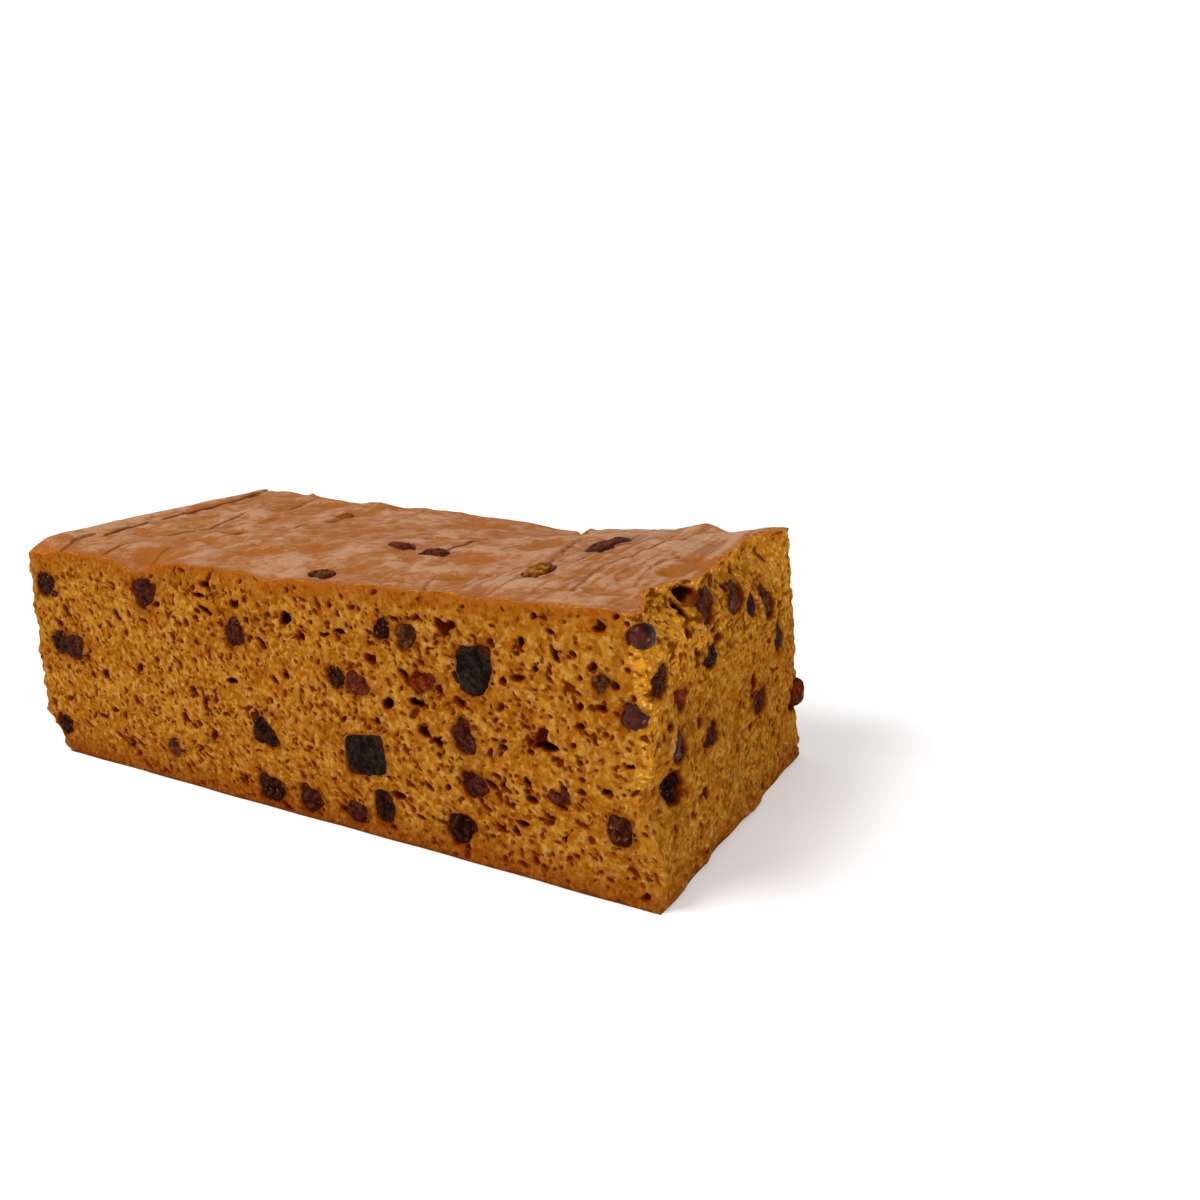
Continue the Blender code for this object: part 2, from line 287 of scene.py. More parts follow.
# %% Height of the crust
MAP_STEP = 0.25
HOLLOW_DEPTH, LINE_DEPTH, FOLD_HEIGHT = 0.9, 0.13, 0.3
MAP_X = np.arange(-146.0, 146.0, MAP_STEP)
MAP_Y = np.arange(-62.0, 62.0, MAP_STEP)


def crust_map(x, y):
    """Height of the crust on a whole raster, with its fine folds."""
    h = TOP + TOP_WAVE * wave(x, y, 0.0, 1.3)
    for sx, sy, rx, ry, lift in SWELLS:
        h = h + lift * np.exp(-((x - sx) / rx) ** 2 - ((y - sy) / ry) ** 2)
    rim = bell((x - RIM_X) / RIM_REACH) * ease((y + HALF_WIDTH) / RIM_REACH)
    h = h + (RIM_TOP - h) * rim
    domes = 0.8 * cloud(x, y * 0.8, 0.0, 15.0, 1) + 0.5 * cloud(x, y, 0.0, 6.0, 2)
    slant = cloud(x + 0.25 * y, y * 0.5, 0.0, 9.0, 14)
    folds = FOLD_HEIGHT * bell(slant / 0.12) * ease(0.5 + cloud(x, y, 0.0, 20.0, 19))
    hollows = hollow_strength(x, y)
    lines = fine_lines(x, y)
    # the creases' valleys, their lines of painted shade and their brown flanks
    valleys, shade_lines, flanks = crease_depth(x, y)
    h = h + domes * (1.0 - 0.6 * rim) + folds + valleys
    h = h - HOLLOW_DEPTH * np.minimum(hollows, 1.4) + LINE_DEPTH * lines
    # the relief that painted highlights and shade follow: domes, folds, small lumps and the raised left rim
    relief = domes + 1.5 * folds + 0.3 * cloud(x, y, 0.0, 2.6, 39) + 0.7 * rim
    return h, shade_lines, np.maximum(hollows, 0.9 * flanks), lines, relief


HEIGHTS, CREASE_SHADE_LINES, HOLLOW_MAP, FINE_LINES, RELIEF_LIGHT_MAP = crust_map(*np.meshgrid(MAP_X, MAP_Y))


def read_map(raster, x, y):
    """A raster's value at any place, blended from the four nearest."""
    col = np.clip((x - MAP_X[0]) / MAP_STEP, 0.0, len(MAP_X) - 1.001)
    row = np.clip((y - MAP_Y[0]) / MAP_STEP, 0.0, len(MAP_Y) - 1.001)
    c, r = np.floor(col).astype(int), np.floor(row).astype(int)
    fc, fr = col - c, row - r
    low = raster[r, c] * (1.0 - fc) + raster[r, c + 1] * fc
    high = raster[r + 1, c] * (1.0 - fc) + raster[r + 1, c + 1] * fc
    return low * (1.0 - fr) + high * fr


def crust_height(x, y):
    """Height of the top crust in millimetres at any place."""
    return read_map(HEIGHTS, x, y)


print("crust from", round(float(HEIGHTS.min()), 1), "to", round(float(HEIGHTS.max()), 1))


# %% Where the four upright faces stand
def left_face(y, z):
    """The left end at a height."""
    x = LEFT_TOP_X - LEFT_LEAN * (1.0 - z / TOP)
    low = np.clip(1.0 - z / CORNER_HEIGHT, 0.0, 1.0)
    x = x + CORNER_ROUND * low ** 0.62
    x = x + 2.4 * np.maximum(0.0, 1.0 - z / 3.5) ** 2
    lip = np.maximum(0.0, z - TOP + LIP_HEIGHT) / LIP_HEIGHT
    return x + LIP * lip ** 2 + END_WAVE * wave(y * 1.6, z, 0.0, 4.2)


def right_face(y, z):
    """The torn right end at a height."""
    x = RIGHT_TOP_X + RIGHT_LEAN * (1.0 - z / TOP)
    for ty, tz, reach, depth in TEARS:
        far = ((y - ty) ** 2 + (z - tz) ** 2) / reach ** 2
        x = x - depth * np.exp(-far)
    x = x - 1.0 * np.maximum(0.0, 1.0 - z / 3.0) ** 2
    torn_y, torn_back = zip(*TORN_EDGE)
    back = np.interp(y, torn_y, torn_back)
    back = back + clouds(0.0, y, z, (0.9, 3.4, 31), (0.35, 1.3, 32))
    x = x - np.maximum(0.0, back) * ease((z - TORN_FROM) / TORN_OVER)
    return x + TORN_WAVE * wave(y * 1.9, z * 1.7, 20.0, 7.1)


def side_face(x, z, side):
    """The front (side -1) or the back (side 1)."""
    y = side * (HALF_WIDTH + FACE_WAVE * wave(x, 0.0, z, 2.0 + side))
    y = y + side * FOOT_FLARE * np.maximum(0.0, 1.0 - z / 9.0)
    return y - side * 0.6 * np.maximum(0.0, 1.0 - z / 1.0) ** 2


def bread_point(u, side, w):
    """A place on the loaf: u along it, side across it, w up it."""
    x = START_X + u * LENGTH
    y = side * HALF_WIDTH
    z = w * crust_height(x, y)
    # x depends on the height, because the ends lean, and the crust's height on x: one after the other
    x = left_face(y, z) * (1.0 - u) + right_face(y, z) * u
    z = w * crust_height(x, y)
    front = side_face(x, z, -1.0)
    back = side_face(x, z, 1.0)
    y = front + (back - front) * (side + 1.0) / 2.0
    return x, y, z


print("corner of the crust:", [round(float(c), 1) for c in bread_point(0.0, -1.0, 1.0)])

# %% [markdown]
# ## Crumbling edges
# A knife leaves the crumb grainy, and the corners between two cut faces crumble
# away. Both skins that share a corner must agree on how far it has crumbled, or
# a crack opens between them. So the crumbling is one function of the place in
# space, and every skin asks it about its own points.

# %% The grain of cut crumb, shared by all skins
EDGE_REACH = 2.6


def torn_lumps(x, y, z):
    """Lumps of torn crumb, wider than tall: about -1 in a rift, 1 on a crest."""
    return clouds(0.5 * x, 0.5 * y, z, (0.5, 1.9, 51), (0.5, 0.9, 52))


def openness(y, z):
    """How roughly the right end was torn at a place: most at the top near the front."""
    corner = ease((z - 60.0) / 12.0) * ease((-4.0 - y) / 18.0)
    return 0.25 + 0.35 * ease((z - 46.0) / 20.0) + 0.6 * corner


def crumble(x, y, z):
    """How far the crumb gives way at a place: a push along x and one along y."""
    # nothing crumbles right under the crust or at the foot, where other skins join on
    soft = ease((crust_height(x, y) - z - 0.3) / 1.6) * ease(z / 1.2)
    front = ease(1.0 - (y + HALF_WIDTH) / EDGE_REACH)
    back = ease(1.0 - (HALF_WIDTH - y) / EDGE_REACH)
    right = ease(1.0 - (right_face(y, z) - x) / EDGE_REACH)
    left = ease(1.0 - (x - left_face(y, z)) / EDGE_REACH)
    grain = clouds(x, y, z, (0.15, 1.6, 5), (0.05, 0.8, 6), (0.2, 4.5, 7))
    chip = 0.5 + clouds(x, y, z, (0.6, 3.2, 9), (0.35, 1.4, 10))
    torn = clouds(x, y, z, (0.9, 8.0, 12), (0.4, 3.0, 13)) * (0.4 + 0.6 * ease((50.0 - y) / 16.0))
    torn = torn - 0.5 * openness(y, z) * torn_lumps(x, y, z)
    notch = 0.9 * cloud(x, y, z, 6.0, 53)
    push_x = left * (grain + chip * (front + back)) - right * (1.5 * grain + torn + chip * (front + back))
    push_x = push_x - right * front * notch
    push_y = front * (grain + chip * (left + right) + notch * right) - back * (grain + chip * (left + right))
    return push_x * soft, push_y * soft


# %% [markdown]
# ## Where the fruit lies
# The loaded solids of the fruit say where each piece is and how big it is. The
# skins need a pocket there, so that the fruit sits in the crumb and not on it.
# Asking the solids keeps both in step, which typed-in places would not.

# %% Reading the fruit's places from the solids
def fruit_boxes(prefix):
    """Centre and half sizes in millimetres of each fruit with this prefix."""
    found = {}
    for name in sorted(frame["nodes"]):
        if name.startswith(prefix):
            low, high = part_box(name)
            low, high = np.array(low) / MM, np.array(high) / MM
            found[name] = ((low + high) / 2.0, (high - low) / 2.0)
    return found


FRUIT = {prefix: fruit_boxes(prefix) for prefix in ("front_", "end_", "back_", "left_", "top_")}
print({prefix: len(rows) for prefix, rows in FRUIT.items()})

# %% [markdown]
# ## Pores
# The crumb is full of bubbles that the knife laid open. Most are small pits and
# slits a millimetre or two long that slant down to the right, with a few large
# dark holes. Displacing with a noise texture alone gives a soft sponge with no
# sharp rims. So each larger pore is a small hollow of its own, pressed into a
# sheet of depths, small pits come where a stretched noise runs high, and the
# sheet is bent a little by noise so that no rim is a clean ellipse.


# %% A sheet of depths for one face
DENSE_BAND = 10.0
DEEPEST_SHADE = 2.5


class Sheet:
    """Depths below one face, on a grid that matches the face's mesh.

    a runs along the face and b up it. bent_a and bent_b are the same places pushed
    about by noise, so that no outline is clean, and jag_a and jag_b are a finer push
    for ragged holes. depth says how far the crumb is pressed in, and stain how much
    juice of the fruit is in it.
    """

    def __init__(self, wide, tall, cells_a, cells_b):
        self.wide = wide
        self.tall = tall
        self.a = np.linspace(0.0, wide, cells_a + 1)[None, :].repeat(cells_b + 1, 0)
        self.b = np.linspace(0.0, tall, cells_b + 1)[:, None].repeat(cells_a + 1, 1)
        self.bent_a = self.a + clouds(self.a, self.b, 0.0, (0.42, 1.7, 21), (0.3, 4.0, 22))
        self.bent_b = self.b + clouds(self.a, self.b, 9.0, (0.42, 1.7, 23), (0.3, 4.0, 24))
        self.jag_a = clouds(self.a, self.b, 2.0, (1.0, 2.4, 91), (0.5, 1.0, 92))
        self.jag_b = clouds(self.a, self.b, 7.0, (1.0, 2.4, 93), (0.5, 1.0, 94))
        self.depth = np.zeros(self.a.shape)
        self.stain = np.zeros(self.a.shape)

    def window(self, a, b, reach):
        """The part of the grid within reach of a place."""
        rows, cols = self.a.shape
        step_a = self.wide / (cols - 1)
        step_b = self.tall / (rows - 1)
        a0, a1 = int((a - reach) / step_a), int((a + reach) / step_a) + 2
        b0, b1 = int((b - reach) / step_b), int((b + reach) / step_b) + 2
        return slice(max(b0, 0), max(b1, 0)), slice(max(a0, 0), max(a1, 0))

    def press(self, a, b, half_long, half_short, turn, depth, power=0.5, ragged=0.0):
        """Press one hollow with steep walls into the sheet."""
        spot = self.window(a, b, half_long + 1.5 + ragged)
        da = self.bent_a[spot] - a + ragged * self.jag_a[spot]
        db = self.bent_b[spot] - b + ragged * self.jag_b[spot]
        c, s = math.cos(turn), math.sin(turn)
        q = ((da * c + db * s) / half_long) ** 2 + ((db * c - da * s) / half_short) ** 2
        dent = depth * np.maximum(0.0, 1.0 - q) ** power
        self.depth[spot] = np.maximum(self.depth[spot], dent)

    def crack(self, size, depth, seed):
        """Press a net of fine cracks between lumps of crumb of this size."""
        net = cloud(self.bent_a, self.bent_b, 0.0, size, seed)
        broken = ease(0.55 + cloud(self.a, self.b, 3.0, 4.0, seed + 1))
        self.depth = np.maximum(self.depth, depth * broken * bell(net / 0.2))

    def pit(self, size, slant, stretch, level, depth, seed, calm=1.0):
        """Press ragged pits where a stretched noise runs high."""
        c, s = math.cos(math.radians(slant)), math.sin(math.radians(slant))
        along = (self.bent_a * c + self.bent_b * s) / stretch
        over = self.bent_b * c - self.bent_a * s
        high = 0.8 * cloud(along, over, 0.0, size, seed)
        high = high + 0.2 * cloud(along, over, 5.0, 0.45 * size, seed + 1)
        crowd = 0.5 + 0.5 * cloud(self.a, self.b, 0.0, 24.0, seed + 2)
        # fewer pits under the crust, near the left edge and in sparse patches
        keep = np.minimum(1.0, 0.2 + (self.tall - self.b) / DENSE_BAND)
        keep = keep * np.minimum(1.0, 0.5 + self.a / calm)
        bar = level + 0.25 * (1.0 - keep * (0.5 + 0.6 * crowd))
        self.depth = np.maximum(self.depth, depth * ease((high - bar) / 0.2))

    def halo(self):
        """The depths blurred, for the painted shade round a pore."""
        halo = np.minimum(self.depth, DEEPEST_SHADE)
        for axis in (0, 1):
            halo = sum((5 - abs(shift)) / 25.0 * np.roll(halo, shift, axis) for shift in range(-4, 5))
        return halo


# %% Scattering pores over a sheet
LONGEST_PORE, WIDEST_PORE = 3.2, 1.5


def scatter_pores(sheet, count, seed, size, spread, slant, sway, flat, calm=1.0):
    """Random hollows: middle size, its spread, and which way slits point.

    calm is how far from the left the crumb is denser, with fewer of them.
    """
    rng = np.random.default_rng(seed)
    places_a = rng.uniform(1.0, sheet.wide - 1.0, count)
    places_b = rng.uniform(1.8, sheet.tall - 1.8, count)
    crowding = 0.5 + 0.5 * cloud(places_a, places_b, seed, 26.0, 2)
    for a, b, crowd in zip(places_a, places_b, crowding):
        long = size * math.exp(spread * rng.normal())
        short = long * rng.uniform(*flat)
        turn = math.radians(slant + sway * rng.normal())
        keep = min(1.0, 0.2 + (sheet.tall - b) / DENSE_BAND)
        keep = keep * (0.45 + 0.8 * crowd) * min(1.0, 0.4 + a / calm)
        if rng.random() < keep:
            wide = min(short, WIDEST_PORE)
            sheet.press(a, b, min(long, LONGEST_PORE), wide, turn, 0.3 + wide, 0.7)


# %% [markdown]
# ## Skins
# A skin is a flat grid bent to its side of the loaf, with walls that go inward
# at a slant and a back plate, so that it is a closed body. The grid comes from
# one operator, the walls from extruding its border, and the back plate from
# filling the hole and poking it. The corner where two skins meet is worked out
# by the same formulas for both, so they meet without a gap.

# %% A closed slab with one fine face
INNER = -1.0


def slab_mesh(cells_a, cells_b):
    """A unit grid with walls and a back plate. Inner points lie at INNER."""
    bm = bmesh.new()
    bmesh.ops.create_grid(bm, x_segments=cells_a, y_segments=cells_b, size=0.5)
    rim = [edge for edge in bm.edges if edge.is_boundary]
    for edge in rim:
        edge.smooth = False
    grown = bmesh.ops.extrude_edge_only(bm, edges=rim)["geom"]
    wall = [item for item in grown if isinstance(item, bmesh.types.BMVert)]
    for vert in wall:
        vert.co.z = INNER
    rim = [edge for edge in bm.edges if edge.is_boundary]
    plate = bmesh.ops.contextual_create(bm, geom=rim)["faces"]
    centre = bmesh.ops.poke(bm, faces=plate)["verts"]
    for vert in centre:
        vert.co.z = INNER
    bmesh.ops.recalc_face_normals(bm, faces=bm.faces)
    return bm


def read_points(mesh):
    """The mesh's points as an array of rows."""
    flat = np.empty(len(mesh.vertices) * 3)
    mesh.vertices.foreach_get("co", flat)
    return flat.reshape(-1, 3)


def write_points(mesh, points):
    """Put the points back in the mesh."""
    mesh.vertices.foreach_set("co", np.ascontiguousarray(points, dtype=float).ravel())
    mesh.update()


def add_value(mesh, name, values):
    """Store one number for each point, for the material to read."""
    layer = mesh.attributes.new(name, "FLOAT", "POINT")
    layer.data.foreach_set("value", np.ascontiguousarray(values, dtype=float))


def mesh_from(name, bm):
    """A mesh with the faces of a bmesh, which is then let go."""
    mesh = bpy.data.meshes.new(name)
    bm.to_mesh(mesh)
    bm.free()
    mesh.polygons.foreach_set("use_smooth", np.ones(len(mesh.polygons), dtype=bool))
    return mesh


def place_object(name, data):
    """Put a mesh, a light or a camera in the scene as an object."""
    thing = bpy.data.objects.new(name, data)
    bpy.context.scene.collection.objects.link(thing)
    return thing


# %% The sides of the loaf
# for each side: how a place on it, from 0 to 1 both ways, becomes a place on the
# loaf, then the axis that the side looks along, and the sign of that way
SIDES = {
    "front_": (lambda a, b, pull: (a, -1.0 + 2.0 * pull, b), 1, -1.0),
    "end_": (lambda a, b, pull: (1.0 - pull, a * 2.0 - 1.0, b), 0, 1.0),
    "back_": (lambda a, b, pull: (1.0 - a, 1.0 - 2.0 * pull, b), 1, 1.0),
    "left_": (lambda a, b, pull: (pull, 1.0 - a * 2.0, b), 0, -1.0),
    "top_": (lambda a, b, pull: (a, b * 2.0 - 1.0, 1.0 - pull), 2, 1.0),
    "bottom_": (lambda a, b, pull: (a, 1.0 - b * 2.0, pull), 2, -1.0),
}
print("sides:", *SIDES)

# %% Turning a slab into a skin
INSET = 0.055
CALM_RIM = 1.5
SHADE_REACH = 20.0
FULL_PORE = 2.0
HALVES = {"left": (0.0, 0.5), "right": (0.5, 1.0)}


def make_skin(name, side, cells, sheet=None, marks=None, part=(0.0, 1.0)):
    """Bend a slab to one side of the loaf, or to a part of its length."""
    place, axis, sign = SIDES[side]
    mesh = mesh_from(name, slab_mesh(*cells))
    flat = read_points(mesh)
    # the back plate is smaller than the face and set back, so that the walls slant inward
    inner = flat[:, 2] < 0.5 * INNER
    pull = np.where(inner, INSET, 0.0)
    shrunk = 1.0 - 2.0 * pull
    start, span = part[0], part[1] - part[0]
    a = start + span * (flat[:, 0] + 0.5)
    b = flat[:, 1] + 0.5
    spot = place(start + span * (0.5 + flat[:, 0] * shrunk), 0.5 + flat[:, 1] * shrunk, pull)
    x, y, z = bread_point(*spot)
    push_x, push_y = crumble(x, y, z)
    points = np.stack([x + np.where(inner, 0.0, push_x), y + np.where(inner, 0.0, push_y), z], 1)
    depth, stain = np.zeros(len(a)), np.zeros(len(a))
    if sheet is not None:
        rows, cols = sheet.depth.shape
        cell = np.rint(b * (rows - 1)).astype(int), np.rint(a * (cols - 1)).astype(int)
        rim = np.minimum(np.minimum(a, 1.0 - a) * sheet.wide, np.minimum(b, 1.0 - b) * sheet.tall)
        depth = np.where(inner, 0.0, sheet.depth[cell] * ease(rim / CALM_RIM))
        stain = sheet.stain[cell]
        # the blurred depths, for painted shade round the pores
        add_value(mesh, "halo", sheet.halo()[cell])
        points[:, axis] -= sign * depth
    write_points(mesh, points * MM)
    values = {
        # pore depth, which the materials turn into painted shade
        "pore": np.clip(depth / FULL_PORE, 0.0, 1.0),
        "stain": stain,
        "below": np.clip((crust_height(x, y) - z) / SHADE_REACH, 0.0, 1.0),
        "above": np.clip(z / SHADE_REACH, 0.0, 1.0),
    }
    if marks is not None:
        values.update(marks(x, y, z))
    for key, numbers in values.items():
        add_value(mesh, key, numbers)
    print(name, "faces:", len(mesh.polygons))
    return place_object(name, mesh)


# %% [markdown]
# ## The front face
# This is the face the eye goes to. Its pores slant down to the right, crowded in
# some places and sparse in others, with few in the dense band under the crust.
# The largest holes are set one by one where they show.

# %% Large holes of the front face: x, z, width, height, turn in degrees
FRONT_HOLES = (
    (104.9, 42.5, 9, 3.1, 2), (58.7, 48.8, 5.6, 3.2, -20), (47.8, 46.8, 5.2, 3.6, 40),
    (104.5, 81, 2.8, 2, 0), (100, 72.8, 2.4, 3.4, -20), (109.5, 76, 3, 1.8, -20),
    (110.4, 70.7, 1.8, 5.2, 25), (103.5, 65.2, 2.1, 1.9, 0), (92.3, 60.1, 2.6, 2.3, -30),
    (117.5, 56.5, 1.9, 2.4, 0), (61.2, 39.7, 6.4, 2.3, -25), (65.9, 37.2, 5.5, 2.5, -35),
    (89, 27.8, 2.2, 2, 0), (98.2, 30.6, 2.2, 3.8, 10), (107.7, 25.9, 6, 2.6, -25),
    (95.4, 16.9, 4.3, 2.2, 0), (131.6, 41.5, 3, 1.6, 20), (123.7, 32.5, 2.9, 1.9, 20),
    (109.4, 14.9, 2.4, 1.9, 0), (56, 10.6, 4.2, 1.8, -20), (7.1, 71, 5.8, 4.8, 30),
    (-31.6, 69.1, 8.4, 2.4, -24), (-33.9, 74.2, 7, 1.8, -8), (-17.2, 72.6, 3.2, 2.4, -30),
    (13.6, 65.3, 4, 3.2, -35), (-23.3, 44.2, 6.2, 2, 5), (42.4, 40.5, 2.6, 2.2, 0),
    (-5.6, 61, 5.4, 2.2, -30), (4.5, 52, 3, 3, 0), (-1.6, 49, 2.6, 3.2, 0), (24, 67, 5, 1.6, -5),
    (31, 68.6, 5.5, 2, 0), (-74, 44, 3, 4.2, -50), (-88, 58, 4, 1.8, -40), (-98, 62, 4.4, 2, -35),
    (-104, 36, 4, 1.8, -30),
)

# how square the outline is, 2 for an ellipse, for the pieces that aren't oval
OVAL = 2.2
SQUARENESS = {
    "front_square": 6.0, "front_big": 3.4, "front_base_d": 2.8, "front_right_foot": 3.5,
    "front_wedge": 2.6,
}
# pieces whose upper edge rises to the right, so that it looks level from the camera
LEVEL_PIECES = ("front_square", "front_big")
# how much wider and taller than its solid some pieces show
FULLER = {
    "front_left_edge": (1.45, 1.5), "front_left_pair_a": (1.15, 0.95),
    "front_left_pair_b": (1.75, 1.05), "front_upper_left": (1.25, 1.45),
    "front_big": (1.1, 1.08), "front_middle_right": (1.15, 1.2), "front_right_corner": (0.62, 0.6),
    "front_square": (1.02, 1.03), "front_wedge": (1.3, 0.95), "front_small_russet": (0.95, 0.55),
    "front_right_ashen": (0.88, 0.82), "end_front": (1.25, 1.2), "end_dark_small": (1.3, 0.8),
    "end_front_dark": (1.1, 1.1), "end_torn_top": (1.3, 1.5), "end_upper_ashen": (1.1, 1.1),
    "top_sunken": (1.25, 1.9), "top_hollow": (0.75, 0.8), "top_wrinkled": (1.25, 1.35),
    "top_torn": (1.0, 1.5), "top_dark": (1.3, 1.0),
}
# how far some pieces show from the middle of their solid: x, y, z
NUDGED = {
    "end_front": (0, -3.2, -1.6), "end_tall_garnet": (0, -3, -2), "end_small_brown": (0, -1.6, -1.4),
    "end_front_dark": (0, -0.8, -1.2), "end_torn_top": (0, 2.6, 1.6),
    "front_right_garnet": (1.2, 0, 0), "front_middle_right": (-1, 0, -0.8),
    "front_small_russet": (0.2, 0, -1), "front_left_pair_b": (-0.9, 0, -0.2),
    "front_left_pair_a": (0.4, 0, 0.3), "front_twin_b": (-0.6, 0, 0.2), "top_sunken": (2.4, -3.4, 0),
    "top_wrinkled": (3, -4.6, 0), "top_torn": (2.5, -4.4, 1.2), "top_dark": (0.8, -1.8, 0),
}
# how ragged the crumb's rim is over some pieces, where 1 is as ragged as over most
RAGGED_RIM = {"front_square": 0.15, "front_big": 0.9, "front_base_d": 0.45, "front_right_foot": 0.45,
              "front_wedge": 0.45}
WINDOW_GROWTH = 1.06
print("large holes:", len(FRONT_HOLES), "pieces of fruit with a size of their own:", len(FULLER))


def outline_distance(node, da, db):
    """1 on the outline of a fruit's cut, less inside, more outside."""
    power = SQUARENESS.get(node, OVAL)
    # uneven lobes that differ from piece to piece, so that no raisin is a clean oval
    if power < 2.5:
        angle = np.arctan2(db, da)
        phase = 0.9 * len(node) + ord(node[-2])
        lobes = 0.11 * np.sin(2.0 * angle + phase) + 0.1 * np.sin(3.0 * angle + 2.3 * phase)
        da, db = da * (1.0 + lobes), db * (1.0 + lobes)
    if node == "front_wedge":
        da = da / np.clip(0.75 - 0.45 * db, 0.3, 1.2) + 0.1 * db
    if node in LEVEL_PIECES:
        db = db - 0.2 * da
    if node == "front_big":
        da = da / np.clip(0.86 + 0.26 * db, 0.5, 1.1) - 0.16 * np.minimum(0.0, db)
    if node == "top_dark":
        db = db / np.clip(0.65 + 0.5 * da, 0.3, 1.2)
    return (np.abs(da) ** power + np.abs(db) ** power) ** (1.0 / power)


def sink_fruit(sheet, side, rows, window_depth=2.3):
    """Open a ragged window over each fruit and stain the crumb round it."""
    place, axis, _ = SIDES[side]
    axis_a, axis_b = (i for i in range(3) if i != axis)
    spots = bread_point(*place(sheet.a / sheet.wide, sheet.b / sheet.tall, 0.0))
    ragged_a = clouds(sheet.a, sheet.b, 3.0, (0.8, 2.6, 25), (0.45, 1.1, 26))
    ragged_b = clouds(sheet.a, sheet.b, 6.0, (0.8, 2.6, 27), (0.45, 1.1, 28))
    patchy = np.clip(0.75 + 0.6 * cloud(sheet.a, sheet.b, 1.0, 2.2, 29), 0.0, 1.0)
    for node, (middle, half) in rows.items():
        wider, taller = FULLER.get(node, (1.0, 1.0))
        moved = middle + np.array(NUDGED.get(node, (0.0, 0.0, 0.0)))
        calm = RAGGED_RIM.get(node, 1.0)
        da = (spots[axis_a] + calm * ragged_a - moved[axis_a]) / (half[axis_a] * WINDOW_GROWTH * wider)
        db = (spots[axis_b] + calm * ragged_b - moved[axis_b]) / (half[axis_b] * WINDOW_GROWTH * taller)
        near = outline_distance(node, da, db)
        bowl = window_depth * np.maximum(0.0, 1.0 - near ** 2) ** 0.45
        sheet.depth = np.maximum(sheet.depth * ease((near - 1.0) / 0.15), bowl)
        out = (near - 1.0) * min(half[axis_a], half[axis_b])
        sheet.stain = np.maximum(sheet.stain, patchy * np.exp(-np.maximum(0.0, out) / 1.0))


# %% Where torn crumb shows golden crests with painted highlights, and painted shade in its rifts
def torn_marks(x, y, z):
    """Golden tone with painted highlights on crests, and painted shade in rifts, round the right end, for
    the crumb's colour.
    """
    back = np.maximum(0.0, right_face(y, z) - x - 1.5)
    near = bell(back / 3.0)
    lump = torn_lumps(x, y, z)
    edge = bell((y + HALF_WIDTH) / 4.0) * ease((z - 24.0) / 14.0)
    open_here = np.minimum(1.3, openness(y, z) + 0.3 * edge)
    crest = np.clip((lump + 0.02) / 0.3, 0.0, 1.0)
    gap = np.clip((-lump - 0.16) / 0.2, 0.0, 1.0)
    return {
        # the torn crumb's golden tone, brightest on the crests as a painted highlight; painted shade in the
        # rifts between lumps
        "gold_and_highlight": near * np.clip(open_here * (0.55 + 0.8 * crest) - 0.05, 0.0, 1.0),
        "rift_shade": near * np.clip(1.5 * open_here * gap, 0.0, 1.0),
    }


# %% What is pressed into the four faces of crumb
FACE_TALL = 84.0
LONG_SIDE, SHORT_SIDE = 278.0, 110.0
FRONT_START = -139.5

# for each face: its width, its grid, its cracks (size, depth, seed), its pits (size,
# slant, stretch, level, depth, seed, calm) and its pores (count, seed, size, spread,
# slant, sway, flattest and roundest, calm)
CRUMB_FACES = {
    "front_": (LONG_SIDE, (760, 250), (2.4, 0.22, 81),
               ((2.6, -38, 1.2, 0.36, 0.9, 181, 30), (3.4, -42, 1.35, 0.38, 1.35, 184, 25)),
               ((500, 31, 0.65, 0.25, -45, 45, (0.6, 1.0)),
                (1000, 32, 0.9, 0.28, -42, 38, (0.45, 0.8), 60),
                (340, 33, 1.5, 0.28, -40, 36, (0.35, 0.65), 100))),
    "end_": (SHORT_SIDE, (300, 230), (2.1, 0.3, 83),
             ((2.2, 88, 1.1, 0.34, 0.7, 191), (3.6, 84, 1.3, 0.36, 1.2, 194)),
             ((1000, 41, 0.5, 0.28, 90, 35, (0.5, 0.9)), (320, 42, 0.9, 0.28, 90, 25, (0.35, 0.7)),
              (50, 43, 1.3, 0.25, 90, 20, (0.3, 0.6)))),
    "back_": (LONG_SIDE, (540, 170), (2.4, 0.22, 85),
              ((2.4, 38, 1.2, 0.34, 0.85, 201), (3.4, 42, 1.4, 0.33, 1.4, 204)),
              ((1400, 51, 0.55, 0.25, 45, 45, (0.6, 1.0)), (1200, 52, 1.0, 0.28, 42, 30, (0.35, 0.65)),
               (300, 53, 1.6, 0.28, 40, 28, (0.3, 0.55)))),
    "left_": (SHORT_SIDE, (210, 170), (2.4, 0.22, 87),
              ((2.4, 80, 1.2, 0.34, 0.85, 211), (3.4, 80, 1.4, 0.34, 1.4, 214)),
              ((1000, 61, 0.55, 0.28, 90, 40, (0.5, 1.0)), (480, 62, 1.0, 0.28, 60, 40, (0.35, 0.7)),
               (90, 63, 1.6, 0.25, 60, 30, (0.3, 0.55)))),
}


def crumb_sheet(face):
    """A sheet with the cracks, pits and scattered pores of one face."""
    wide, cells, crack, pits, pores = CRUMB_FACES[face]
    sheet = Sheet(wide, FACE_TALL, *cells)
    sheet.crack(*crack)
    for row in pits:
        sheet.pit(*row)
    for row in pores:
        scatter_pores(sheet, *row)
    return sheet


print("faces of crumb:", *CRUMB_FACES)

